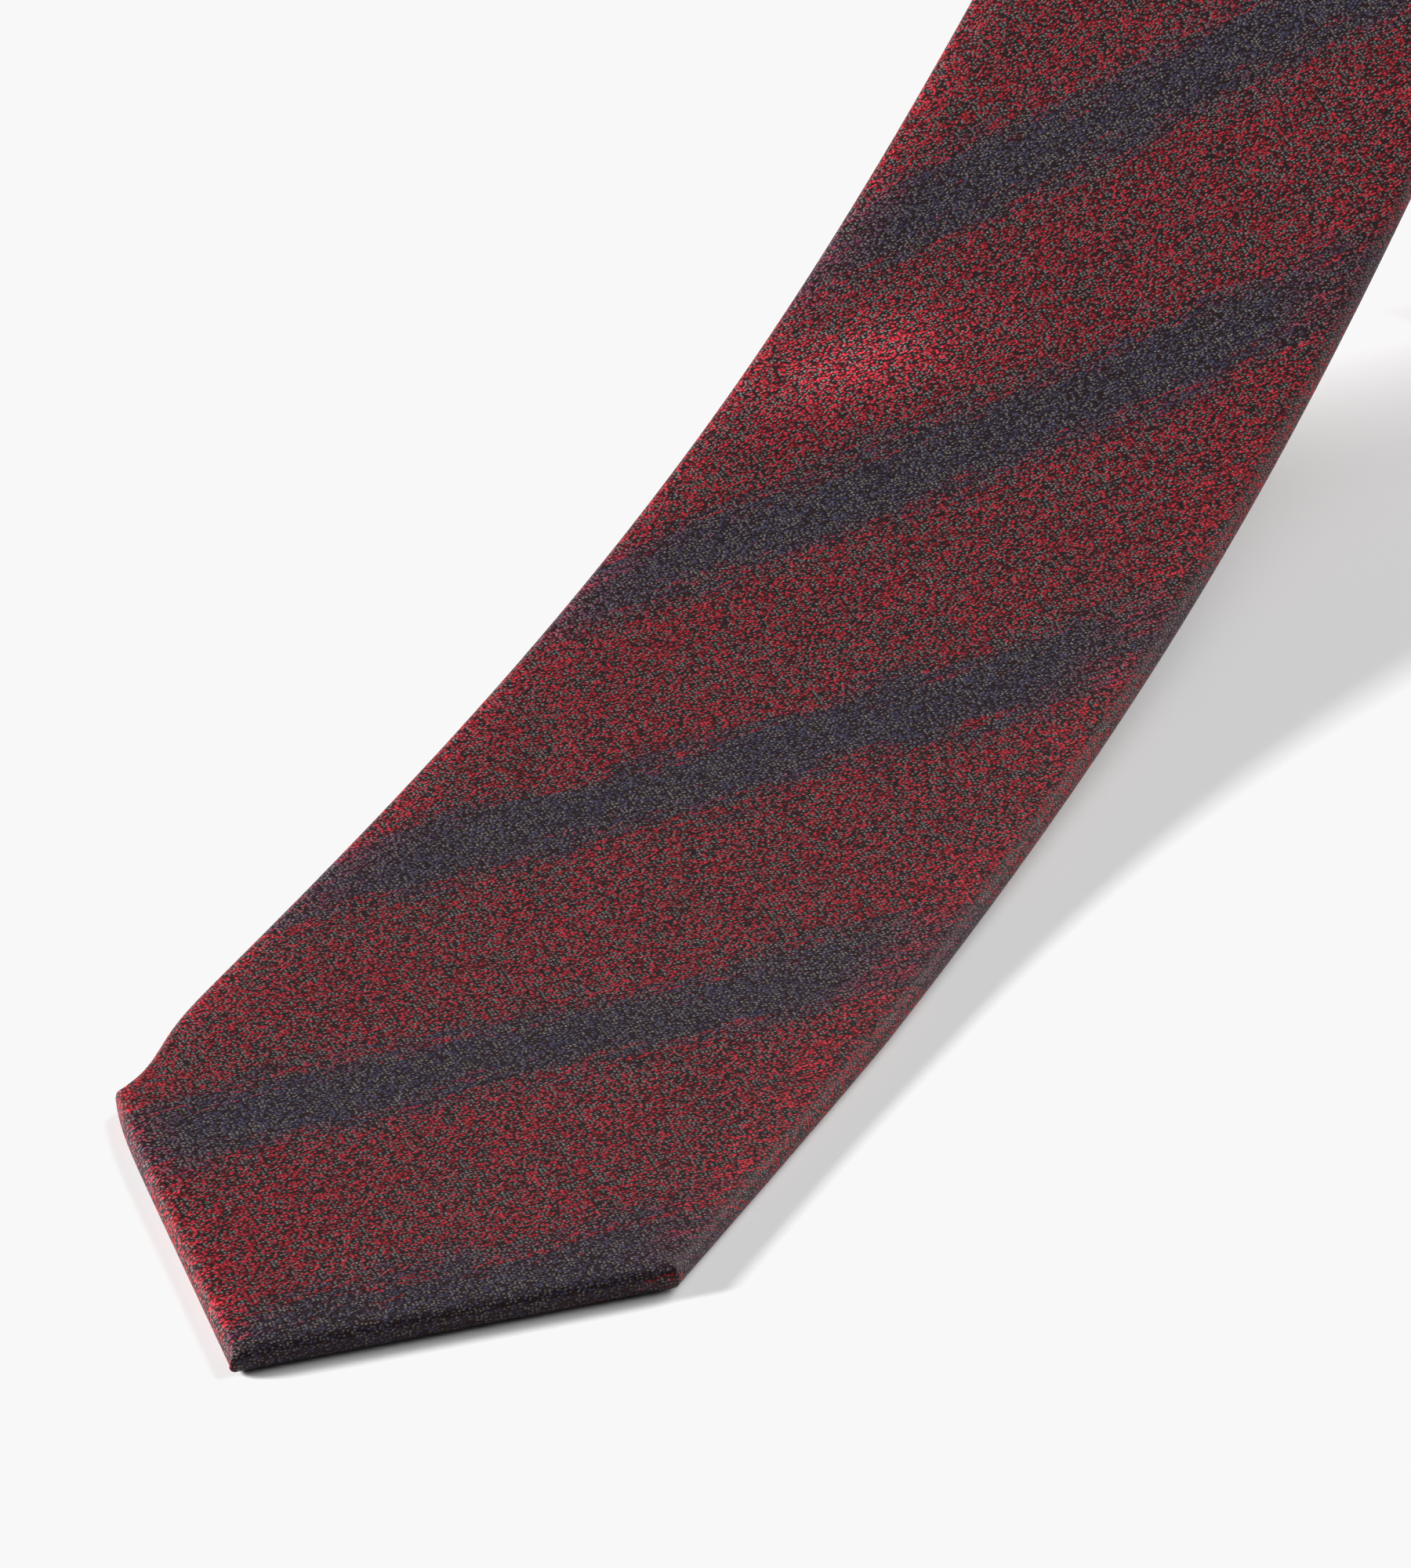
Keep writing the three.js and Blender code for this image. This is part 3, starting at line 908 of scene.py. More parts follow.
@dataclass
class Tie:
    """What every piece of the tie shares: its line, its outline, its layers and its bends."""

    path: ClothPath = field(default_factory=ClothPath)
    outline: Outline = field(default_factory=Outline)
    wardrobe: Wardrobe = field(default_factory=Wardrobe)
    hem: float = 9.0
    front_tack: float = 116.0
    tail_tack: float = 62.0
    front_panel: float = 640.0
    neck_panel: float = 370.0
    point_end: float = 205.0
    blade_end: float = 372.0
    inside: float = 1.0
    tip_bend: Pair = (80.0, 116.0)
    lift_bend: Pair = (284.0, 337.5)

    def spread(self, s: np.ndarray) -> np.ndarray:
        """Half width of the back's opening, which spreads from each tack towards its point."""
        out = self.outline
        front = (out.front.width / 2 - self.hem) / (self.front_tack - out.front.length)
        tail = (out.tail.width / 2 - self.hem) / (self.tail_tack - out.tail.length)
        near_front = np.maximum(0, self.front_tack - s) * front
        near_tail = np.maximum(0, s - (out.tie_length - self.tail_tack)) * tail
        return np.clip(np.minimum(out.inset(self.hem, s), np.maximum(near_front, near_tail)), 0, None)

    def closed(self, s: np.ndarray) -> np.ndarray:
        """How far the back seam has closed: 0 in the openings, 1 along the seam."""
        run = 12.0
        from_front, from_tail = s - self.front_tack, self.outline.tie_length - self.tail_tack - s
        return smooth(np.clip(np.minimum(from_front, from_tail) / run, 0, 1))

    def bend(self, piece: Piece, first: Body, second: Body, between: Pair) -> None:
        """Bake a piece's transform into its mesh; it is not made to turn from one body to the next.

        Args:
            piece: the finished mesh.
            first: not used; the body that it would follow before the bend.
            second: not used; the body that it would follow after it.
            between: where along the cloth the bend starts and ends.
        """
        start, end = (self.path.point(0, self.path.thick, s) for s in between)
        end.z = start.z
        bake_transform(piece)

    def follow(self, piece: Piece, start: float, stop: float) -> None:
        """Parent a piece to the roll or the blade along its stretch of cloth; a piece that reaches into a
        bend is only baked.

        Args:
            piece: the finished mesh.
            start: where it starts along the cloth.
            stop: where it ends.
        """
        if start < self.tip_bend[1]:
            self.bend(piece, Body.TIP, Body.BLADE, self.tip_bend)
        elif start >= self.path.leave_at:
            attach(piece, Body.ROLL.value)
        elif stop > self.lift_bend[0]:
            self.bend(piece, Body.BLADE, Body.ROLL, self.lift_bend)
        else:
            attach(piece, Body.BLADE.value)


# ---------------------------------------------------------------------------------------------
# Silk


@dataclass
class SilkPanel:
    """A stretch of silk folded round the canvas, rolled over at its edges and lapped at the back."""

    name: str
    start: float
    stop: float
    node: str
    cloth: float = 0.32
    edge_depth: float = 2.1
    edge_drop: float = 0.45
    edge_reach: float = 3.2
    padding: float = 0.12
    ripple: float = 0.10
    rise: float = 0.55
    squareness: float = 0.78
    edge_steps: int = 12
    front_steps: int = 44
    flap_steps: int = 9
    fold_steps: int = 5
    fold: float = 0.325
    turned_in: float = 3.0
    lap: float = 3.4
    tuck: float = 0.75
    pitch: float = 2.0

    def build(self, tie: Tie) -> Piece:
        """Make the panel.

        Args:
            tie: the tie it belongs to.

        Returns:
            The finished piece, parented to its body unless it reaches into a bend.
        """
        grid = self._grid(tie)
        piece = grid.mesh(self.name)
        self._paint_highlights(piece, tie, grid)
        weld(piece)
        thicken(piece, self.cloth)
        piece.data.set_sharp_from_angle(angle=math.radians(60))
        tie.wardrobe.dress(piece, Slot.SILK, self.node)
        width = float(np.linalg.norm(np.diff(grid.points, axis=1), axis=-1).sum(axis=1).max())
        length = (self.stop - self.start) * MM
        area = min(grid.area(), width * length)
        tie.follow(piece, self.start, self.stop)
        return piece

    def _rows(self, tie: Tie) -> np.ndarray:
        """Places along the cloth, with the corners of the rolled edge among them."""
        count = max(4, int((self.stop - self.start) / self.pitch))
        nudge, from_tip, least_step = 0.3, 0.15, 0.02
        end = tie.outline.tie_length
        rows = [*np.linspace(self.start, self.stop, count + 1), self.start + nudge, self.stop - nudge]
        for depth in (*np.unique(np.round(self._edge_depths(), 3)), tie.hem):
            rows += tie.outline.corner_places(float(depth))
        rows += [tie.front_tack, end - tie.tail_tack]
        rows = np.clip(np.array(rows), from_tip, end - from_tip)
        rows = np.unique(np.round(rows[(rows >= self.start) & (rows <= self.stop)], 3))
        keep = np.concatenate([[True], np.diff(rows) > least_step])
        keep[-1] = True
        return rows[keep]

    def _edge_turns(self) -> np.ndarray:
        """Turns round the rolled edge, from the front to the back."""
        return np.linspace(0, math.pi, self.edge_steps + 1)

    def _edge_depths(self) -> np.ndarray:
        """How far in from the outline each turn lies."""
        return self.edge_depth * (1 - np.sin(self._edge_turns()) ** self.squareness)

    def _half(self, tie: Tie, s: np.ndarray) -> tuple[np.ndarray, np.ndarray, np.ndarray]:
        """One side of the section, from the middle of the front to the middle of the back.

        Args:
            tie: the tie.
            s: places along the cloth, one for each row.

        Returns:
            Arrays of half width, height and how far the cloth has gone over the edge.
        """
        full = tie.path.thick - self.edge_drop
        s = s[:, None]
        power = 1 / self.squareness
        reach = np.clip(tie.outline.depth_at_middle(s) / self.edge_depth, 0, 1)
        least = np.arcsin(np.clip(1 - reach, 0, 1) ** power)
        turns = np.clip(self._edge_turns()[None], least, math.pi - least)
        depth = self.edge_depth * (1 - np.sin(turns) ** self.squareness)
        lift = np.sign(np.cos(turns)) * np.abs(np.cos(turns)) ** self.squareness
        edge_x = np.clip(tie.outline.inset(depth, s), 0, None)
        edge_h = full / 2 * (1 + lift)
        step = np.hypot(np.diff(depth, axis=1), np.diff(edge_h, axis=1))
        arc = np.concatenate([np.zeros_like(s), np.cumsum(step, axis=1)], axis=1)
        edge_over = depth + arc - self.edge_depth * np.minimum(reach, 1)
        share = np.linspace(0, 1, self.front_steps // 2 + 1)[None, :-1]
        front_x = share * edge_x[:, :1]
        front_h = np.broadcast_to(edge_h[:, :1], front_x.shape)
        inner = tie.spread(s)
        share = np.linspace(0, 1, self.flap_steps + 1)[None, 1:]
        flap_x = edge_x[:, -1:] + (np.minimum(inner, edge_x[:, -1:]) - edge_x[:, -1:]) * share
        flap_h = np.broadcast_to(edge_h[:, -1:], flap_x.shape)
        gone = edge_over[:, -1:] + 2 * (edge_x[:, -1:] - flap_x)
        return (
            np.concatenate([front_x, edge_x, flap_x], axis=1),
            np.concatenate([front_h, edge_h, flap_h], axis=1),
            np.concatenate([np.zeros_like(front_x), edge_over, gone], axis=1),
        )

    def _ending(self, tie: Tie, x: np.ndarray, h: np.ndarray, s: np.ndarray) -> tuple[np.ndarray, np.ndarray]:
        """The turned-in end of the flap: a round fold and a tail tucked behind it.

        Args:
            tie: the tie.
            x: half width at the end of the flap, one for each row.
            h: its height.
            s: places along the cloth.

        Returns:
            Half widths and heights.
        """
        turn = np.linspace(0, math.pi, self.fold_steps + 1)[None, 1:]
        fold_x = x - self.fold * np.sin(turn)
        fold_h = h + self.fold * (1 - np.cos(turn))
        tail_x = x + np.array([[1.0, self.turned_in]])
        tail_h = fold_h[:, -1:] + np.array([[0.02, 0.04]])
        room = np.maximum(np.clip(tie.outline.inset(tie.inside, s), 0, None), x)
        fold_x = np.minimum(np.maximum(fold_x, -1), room)
        tail_x = np.minimum(tail_x, room)
        return np.concatenate([fold_x, tail_x], axis=1), np.concatenate([fold_h, tail_h], axis=1)

    def _grid(self, tie: Tie) -> Grid:
        """Both sides of the section at every row, joined down the middle of the front."""
        s = self._rows(tie)
        x, h, over = self._half(tie, s)
        column = s[:, None]
        closed = tie.closed(column)
        flaps = slice(x.shape[1] - self.flap_steps, None)
        left_h = h.copy()
        tuck = np.clip((14.0 - x[:, flaps]) / 9.0, 0, 1)
        left_h[:, flaps] = h[:, flaps] + closed * self.tuck * smooth(tuck)
        end_x, end_h = self._ending(tie, x[:, -1:], h[:, -1:], column)
        under_x = x[:, -1:] - self.lap * np.linspace(0.14, 1, end_x.shape[1])[None]
        left_end_x = end_x * (1 - closed) + under_x * closed
        left_end_h = end_h * (1 - closed) + left_h[:, -1:] * closed
        right_x = np.concatenate([x, end_x], axis=1)
        right_h = np.concatenate([h, end_h], axis=1)
        extra = np.linalg.norm(np.diff(np.stack([right_x, right_h]), axis=2), axis=0)[:, x.shape[1] - 1 :]
        over = np.concatenate([over, over[:, -1:] + np.cumsum(extra, axis=1)], axis=1)
        right = self._side(tie, right_x, right_h, over, column, 1)
        left_x = np.concatenate([x, left_end_x], axis=1)
        left_h = np.concatenate([left_h, left_end_h], axis=1)
        left = self._side(tie, left_x, left_h, over, column, -1)
        points, flat = (np.concatenate([left[k][:, :0:-1], right[k]], axis=1) for k in (0, 1))
        return Grid(points, flat)

    def _side(
        self, tie: Tie, x: np.ndarray, h: np.ndarray, over: np.ndarray, s: np.ndarray, side: int
    ) -> tuple[np.ndarray, np.ndarray]:
        """Place one side of the section and lay it out flat.

        Args:
            tie: the tie.
            x: half widths.
            h: heights.
            over: how far the cloth has gone over the edge.
            s: the row's place along the cloth.
            side: 1 for the right, -1 for the left.

        Returns:
            Points in metres and places on the flat cloth.
        """
        s = np.broadcast_to(s, x.shape)
        front = self.front_steps // 2
        crown = self._crown(tie, side * x[:, : front + 1], s[:, : front + 1])
        raised = h.copy()
        raised[:, : front + 1] += crown
        fade = np.linspace(1, 0, self.edge_steps // 2 + 1)[None]
        raised[:, front : front + fade.shape[1]] = h[:, front : front + fade.shape[1]] + crown[:, -1:] * fade
        points = tie.path.place(side * x, raised, s)
        flat_x, flat_s = tie.outline.unfold(side * np.maximum(x, 1e-4), s, over)
        return points, np.stack([flat_x, flat_s], axis=-1) * MM

    def _crown(self, tie: Tie, x: np.ndarray, s: np.ndarray) -> np.ndarray:
        """How the front stands proud of its edges: padded in the middle, with faint ripples."""
        half = np.maximum(tie.outline.inset(0.0, s), 1e-3)
        depth = np.minimum(tie.outline.depth_at_middle(s), half - np.abs(x)) - self.edge_depth
        depth = np.clip(depth, 0, None)
        swell = (self.edge_drop + self.padding) * (1 - np.exp(-depth / self.edge_reach))
        ripple = self.ripple * np.sin(x / 9.0 + s / 31.0) * np.sin(s / 17.0 - x / 23.0)
        rise = self.rise * bell(x, -19.0, 6.0) * bell(s - 1.1 * (x + 20.5), 188.0, 8.0)
        return swell + (ripple + rise) * np.clip(depth / 8.0, 0, 1)

    def _paint_highlights(self, piece: Piece, tie: Tie, grid: Grid) -> None:
        """Store the painted highlights of each point: red glints near the edges, and a soft painted sheen.

        Args:
            piece: the panel, with the grid's points.
            tie: the tie it belongs to.
            grid: the panel's grid.
        """
        rows, columns = grid.points.shape[:2]
        s = np.broadcast_to(self._rows(tie)[:, None], (rows, columns))
        x = grid.points[..., 0] / MM
        depth = tie.outline.inset(0.0, s) - np.abs(x)
        # Painted glints: bright red within a few millimetres of the edges, strongest along the right side
        # past the point and weaker on the left, with a thin painted highlight along the turn of the left
        # edge.
        side = np.clip((tie.outline.depth_at_middle(s) - 24) / 14, 0, 1)
        near, turned = bell(depth, 3.4, 3.2), bell(depth, 0.8, 1.8)
        left = np.where(s < 42, 0.45, 0.2) * near + 0.35 * turned
        # A soft patch of painted sheen on the blade, left of the middle; it also feeds the painted glints.
        painted_sheen_patch = bell(x, -20.0, 10.0) * bell(s - 0.5 * (x + 20.0), 193.0, 8.0)
        marks = {
            PAINTED_GLINT: np.clip(np.where(x > 0, 0.95 * near * side, left) + 0.6 * painted_sheen_patch, 0, 1),
            PAINTED_SHEEN: painted_sheen_patch + 0.3 * np.where(x < 0, turned, 0),
        }
        for name, values in marks.items():
            attribute = piece.data.attributes.new(name, "FLOAT", "POINT")
            attribute.data.foreach_set("value", values.ravel().astype(np.float32))


@dataclass
class Silk:
    """The three panels of silk, in the stretches that bend and ride differently."""

    seam: float = 0.08

    def build(self, tie: Tie) -> list[Piece]:
        """Make every stretch of the silk.

        Args:
            tie: the tie.

        Returns:
            The pieces, from the front tip to the tail.
        """
        point, blade, front = tie.point_end, tie.blade_end, tie.front_panel
        tail = front + tie.neck_panel
        end = tie.outline.tie_length
        fine, few = 1.6, 28
        panels = [
            SilkPanel("front_point_silk", 0.0, point, "front_shell_tip", pitch=fine),
            SilkPanel("front_blade_silk", point, blade, "front_shell_blade", pitch=fine),
            SilkPanel("front_roll_silk", blade, front - self.seam, "front_shell_roll"),
            SilkPanel("neck_silk", front + self.seam, tail - self.seam, "neck_shell", front_steps=few),
            SilkPanel("tail_silk", tail + self.seam, end, "tail_shell", front_steps=few),
        ]
        return [panel.build(tie) for panel in panels]


# ---------------------------------------------------------------------------------------------
# Inside: canvas and tipping


@dataclass
class Strip:
    """A layer that follows the cloth, such as canvas or tipping."""

    name: str
    start: float
    stop: float
    between: Pair
    node: str
    slot: Slot
    pitch: float = 3.0
    margin: float = 0.2
    from_tip: float = 0.8
    least_half: float = 0.3

    def build(self, tie: Tie) -> Piece:
        """Make the strip.

        Args:
            tie: the tie it lies in.

        Returns:
            The finished piece.
        """
        inside = tie.inside + self.margin
        tips = tie.outline.corner_places(inside)
        first, last = max(self.start, tips[0] + self.from_tip), min(self.stop, tips[3] - self.from_tip)
        count = max(4, int((last - first) / self.pitch))
        rows = np.concatenate([np.linspace(first, last, count + 1), [s for s in tips if first < s < last]])
        rows = np.unique(np.round(rows, 3))

        def section(s: float) -> list[Pair]:
            """The strip's outline at s."""
            half = max(self.least_half, float(tie.outline.inset(inside, np.array(s))))
            return band(half, *self.between, per_side=12)

        piece = sweep(tie.path, rows, section).solid(self.name)
        tie.wardrobe.dress(piece, self.slot, self.node)
        halves = np.clip(tie.outline.inset(inside, rows), self.least_half, None)
        area = float((np.diff(rows) * (halves[1:] + halves[:-1])).sum()) * MM * MM
        width, length = 2 * float(halves.max()) * MM, float(last - first) * MM
        area = min(area, width * length)
        tie.follow(piece, self.start, self.stop)
        return piece


@dataclass
class Inside:
    """What the silk is folded round."""

    canvas: Pair = (1.6, 2.9)
    tipping: Pair = (1.05, 1.3)
    front_tipping: float = 106.0
    tail_tipping: float = 56.0

    def build(self, tie: Tie) -> list[Piece]:
        """Make the canvas and both tippings."""
        point, blade, end = tie.point_end, tie.blade_end, tie.outline.tie_length
        tail = end - self.tail_tipping
        layers = [
            Strip("point_canvas", 0, point, self.canvas, "interlining_tip", Slot.CANVAS),
            Strip("blade_canvas", point, blade, self.canvas, "interlining_blade", Slot.CANVAS),
            Strip("roll_canvas", blade, end, self.canvas, "interlining_roll", Slot.CANVAS),
            Strip("point_tipping", 0, self.front_tipping, self.tipping, "front_tipping", Slot.LINING),
            Strip("tail_tipping_cloth", tail, end, self.tipping, "tail_tipping", Slot.LINING),
        ]
        return [layer.build(tie) for layer in layers]


# ---------------------------------------------------------------------------------------------
# Thread


@dataclass(frozen=True)
class Stitch:
    """One stitch on a face of the cloth."""

    x: float
    h: float
    s: float
    length: float
    turn: float = 0.0


class StitchTree:
    """A geometry-nodes tree that lays an arched thread at every point it is given."""

    def __init__(self) -> None:
        """Build the tree once, with named inputs."""
        self.tree = bpy.data.node_groups.new("laid_stitches", "GeometryNodeTree")
        sockets = {"Geometry": "Geometry", "Thread Radius": "Float", "Arch": "Float", "Thread": "Material"}
        for name, kind in sockets.items():
            self.tree.interface.new_socket(name, in_out="INPUT", socket_type=f"NodeSocket{kind}")
        self.tree.interface.new_socket("Geometry", in_out="OUTPUT", socket_type="NodeSocketGeometry")
        w = Wiring(self.tree)
        given, out = w.add("NodeGroupInput"), w.add("NodeGroupOutput")
        radius = given.outputs["Thread Radius"]
        sunk = w.math("MULTIPLY", radius, -1.3)
        ends = {"Start": w.vector(-1.0, 0.0, sunk), "End": w.vector(1.0, 0.0, sunk)}
        top = w.vector(0.0, 0.0, w.math("MULTIPLY", given.outputs["Arch"], 2.0))
        arc = w.add("GeometryNodeCurveQuadraticBezier", {"Resolution": 6, "Middle": top, **ends})
        ring = w.add("GeometryNodeCurvePrimitiveCircle", {"Resolution": 7, "Radius": radius}, mode="RADIUS")
        sides = {"Curve": arc.outputs[0], "Profile Curve": ring.outputs[0], "Fill Caps": True}
        tube = w.add("GeometryNodeCurveToMesh", sides)
        lean = w.add("FunctionNodeAxesToRotation", primary_axis="Z", secondary_axis="X")
        for socket, name in zip(lean.inputs, ("out", "along")):
            w.feed(socket, self._named(w, name, "FLOAT_VECTOR"))
        given_points = {
            "Points": given.outputs["Geometry"],
            "Instance": tube.outputs[0],
            "Rotation": lean.outputs[0],
            "Scale": w.vector(self._named(w, "reach", "FLOAT"), 1.0, 1.0),
        }
        place = w.add("GeometryNodeInstanceOnPoints", given_points)
        real = w.add("GeometryNodeRealizeInstances", {"Geometry": place.outputs[0]})
        coat = {"Geometry": real.outputs[0], "Material": given.outputs["Thread"]}
        w.feed(out.inputs[0], w.add("GeometryNodeSetMaterial", coat).outputs[0])

    @staticmethod
    def _named(w: Wiring, name: str, kind: str) -> Socket:
        """Read a named attribute of the points."""
        return w.add("GeometryNodeInputNamedAttribute", {"Name": name}, data_type=kind).outputs["Attribute"]

    def sew(
        self,
        tie: Tie,
        name: str,
        node: str,
        stitches: list[Stitch],
        face: Face = Face.BACK,
        radius: float = 0.16,
        arch: float = 0.2,
    ) -> Piece:
        """Sew stitches on the cloth.

        Args:
            tie: the tie.
            name: the piece's name.
            node: the node that it stands for.
            stitches: where each lies.
            face: the face of the cloth that they stand on.
            radius: of the thread, in millimetres.
            arch: how far a stitch's middle stands up.

        Returns:
            A plain mesh of all the stitches, in its finish.
        """
        mesh = bpy.data.meshes.new(name)
        mesh.from_pydata([tuple(tie.path.point(k.x, k.h, k.s)) for k in stitches], [], [])
        along, out = [], []
        for k in stitches:
            forward = tie.path.along(k.s)
            along += [*(Vector((math.cos(k.turn), 0, 0)) + math.sin(k.turn) * forward)]
            out += [*(face.value * Vector((0, -forward.z, forward.y)))]
        mesh.attributes.new("along", "FLOAT_VECTOR", "POINT").data.foreach_set("vector", along)
        mesh.attributes.new("out", "FLOAT_VECTOR", "POINT").data.foreach_set("vector", out)
        reach = [k.length / 2 * MM for k in stitches]
        mesh.attributes.new("reach", "FLOAT", "POINT").data.foreach_set("value", reach)
        piece = put(name, mesh)
        modifier = piece.modifiers.new("stitches", "NODES")
        modifier.node_group = self.tree
        thread = tie.wardrobe.finishes[Slot.THREAD]
        values = {"Thread Radius": radius * MM, "Arch": arch * MM, "Thread": thread}
        for item in self.tree.interface.items_tree:
            if item.item_type == "SOCKET" and item.in_out == "INPUT" and item.name in values:
                modifier[item.identifier] = values[item.name]
        settle(piece).data.shade_smooth()
        tie.wardrobe.dress(piece, Slot.THREAD, node)
        return piece


@dataclass
class BackSeam:
    """The slip stitch down the centre back, its bar tacks, and the seams between the panels."""

    spacing: float = 8.0
    bite: float = 1.7
    from_tack: float = 12.0
    gap: float = 2.0
    tack_length: float = 8.0
    tack_width: float = 3.4
    tack_rows: int = 9
    seam_stitch: float = 2.3
    fold_x: float = -0.42

    def build(self, tie: Tie, laid: StitchTree) -> list[Piece]:
        """Make every row of thread on the seams.

        Args:
            tie: the tie.
            laid: the stitch-laying tree.

        Returns:
            The pieces.
        """
        leave = tie.path.leave_at
        first, last = tie.front_tack, tie.outline.tie_length - tie.tail_tack
        slips = (
            ("blade", first + self.from_tack, leave - self.gap),
            ("roll", leave + self.gap, last - self.from_tack),
        )
        tacks = (("front", first + 0.5), ("tail", last - self.tack_length - 0.5))
        seams = (("front", tie.front_panel), ("tail", tie.front_panel + tie.neck_panel))
        return [
            *(self._slip(tie, laid, *slip) for slip in slips),
            *(self._tack(tie, laid, *tack) for tack in tacks),
            *(self._across(tie, laid, *seam) for seam in seams),
        ]

    def _slip(self, tie: Tie, laid: StitchTree, part: str, start: float, stop: float) -> Piece:
        """Small slanting bites over the folded edge, a hand's spacing apart."""
        count = int((stop - start) / self.spacing)
        places = [start + self.spacing * k for k in range(count + 1)]
        slant = math.radians(35)
        stitches = [Stitch(self.fold_x, 0.12 + 0.05 * math.sin(3 * s), s, self.bite, slant) for s in places]
        piece = laid.sew(tie, f"{part}_slip_stitches", f"slip_stitch_{part}", stitches)
        tie.follow(piece, start, stop)
        return piece

    def _tack(self, tie: Tie, laid: StitchTree, part: str, start: float) -> Piece:
        """A bar tack: a close row of stitches across the seam, over two long ones."""
        run = self.tack_length - 1
        stitches = []
        for k in range(self.tack_rows):
            way = (-1) ** k
            s = start + run * k / (self.tack_rows - 1)
            stitches.append(Stitch(self.fold_x + 0.2 * way, 0.0, s, self.tack_width, 0.12 * way))
        stitches += [Stitch(self.fold_x + x, 0.05, start + run / 2, run, math.pi / 2) for x in (-0.5, 0.5)]
        piece = laid.sew(tie, f"{part}_tack_stitches", f"{part}_bar_tack", stitches, radius=0.2, arch=0.3)
        tie.follow(piece, start + 2, start + 2)
        return piece

    def _across(self, tie: Tie, laid: StitchTree, part: str, at: float) -> Piece:
        """A machine seam across the face, where two panels join."""
        half = float(tie.outline.side(np.array(at))) - 2
        count = int(2 * half / self.seam_stitch)
        pitch = 2 * half / count
        places = [-half + pitch * (k + 0.5) for k in range(count)]
        stitches = [Stitch(x, tie.path.thick - 0.02, at, pitch * 0.8) for x in places]
        name, node = f"{part}_seam_stitches", f"{part}_neck_seam"
        piece = laid.sew(tie, name, node, stitches, Face.FRONT, radius=0.12, arch=0.06)
        tie.follow(piece, at, at)
        return piece


# ---------------------------------------------------------------------------------------------
# Fittings on the back


@dataclass
class Label:
    """A blank woven label, caught down at its corners."""

    start: float = 168.0
    length: float = 34.0
    width: float = 48.0
    low: float = -0.8
    high: float = -0.34
    corner: float = 2.0
    turned: float = 0.1

    def build(self, tie: Tie, laid: StitchTree) -> list[Piece]:
        """Make the label and its four tacks."""
        end = self.start + self.length

        def section(s: float) -> list[Pair]:
            """The label's outline at s, a little thicker where its ends are turned under."""
            turned = self.turned * float(bell(min(s - self.start, end - s), 3, 2.5))
            return band(self.width / 2, self.low - turned, self.high, per_side=20)

        piece = sweep(tie.path, np.linspace(self.start, end, 25), section).solid("blank_label_cloth")
        tie.wardrobe.dress(piece, Slot.LABEL, "blank_label")
        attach(piece, Body.BLADE.value)
        pieces = [piece]
        for row, at in (("lower", self.start + self.corner), ("upper", end - self.corner)):
            for side, sign in SIDES:
                tack = laid.sew(
                    tie, f"label_stitches_{row}_{side}", f"label_tack_{row}_{side}", self._tack(at, sign)
                )
                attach(tack, Body.BLADE.value)
                pieces.append(tack)
        return pieces

    def _tack(self, at: float, sign: int) -> list[Stitch]:
        """Three stitches fanned over a corner."""
        x, fan, length = sign * (self.width / 2 - self.corner), 0.35 * sign, 2.6
        return [
            Stitch(x + 0.5 * k, self.low, at + 0.3 * k, length, math.pi / 2 + fan * k) for k in (-1, 0, 1)
        ]


@dataclass
class Keeper:
    """A loop of the tie's own silk that holds the tail, tacked down at its two feet."""

    start: float = 232.0
    length: float = 14.0
    width: float = 52.0
    foot: float = 6.0
    slope: float = 4.5
    slack: float = 2.3
    thick: float = 0.6
    ease: float = 0.32
    flat_shift: Pair = (3.0, 9.0)

    def build(self, tie: Tie, laid: StitchTree) -> list[Piece]:
        """Make the loop and its tacks."""
        half, centre = self.width / 2, self.start + self.length / 2
        x = np.linspace(-half, half, 91)
        rise = np.clip((half - self.foot - np.abs(x)) / self.slope, 0, 1)
        middle = -self.ease - self.thick / 2 - self.slack * smooth(rise)
        outline = np.array(band(self.length / 2, -self.thick / 2, self.thick / 2, per_side=10))
        h = middle[:, None] + outline[None, :, 1]
        s = np.broadcast_to(centre + outline[None, :, 0], h.shape)
        across = np.broadcast_to(x[:, None], h.shape)
        upper = np.where(outline[None, :, 1] > 0, self.flat_shift[1], 0.0)
        flat = np.stack([across + self.flat_shift[0], s + upper], axis=-1) * MM
        piece = Grid(tie.path.place(across, h, s), flat).solid("keeper_loop_silk")
        tie.wardrobe.dress(piece, Slot.SILK, "keeper_loop")
        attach(piece, Body.BLADE.value)
        pieces = [piece]
        for side, sign in SIDES:
            foot, top = sign * (half - self.foot / 2), -self.ease - self.thick
            stitches = [Stitch(foot, top, centre + 2.2 * (k - 1.5), 2.4, 0.5 * (-1) ** k) for k in range(4)]
            tack = laid.sew(tie, f"keeper_stitches_{side}", f"keeper_tack_{side}", stitches)
            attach(tack, Body.BLADE.value)
            pieces.append(tack)
        return pieces


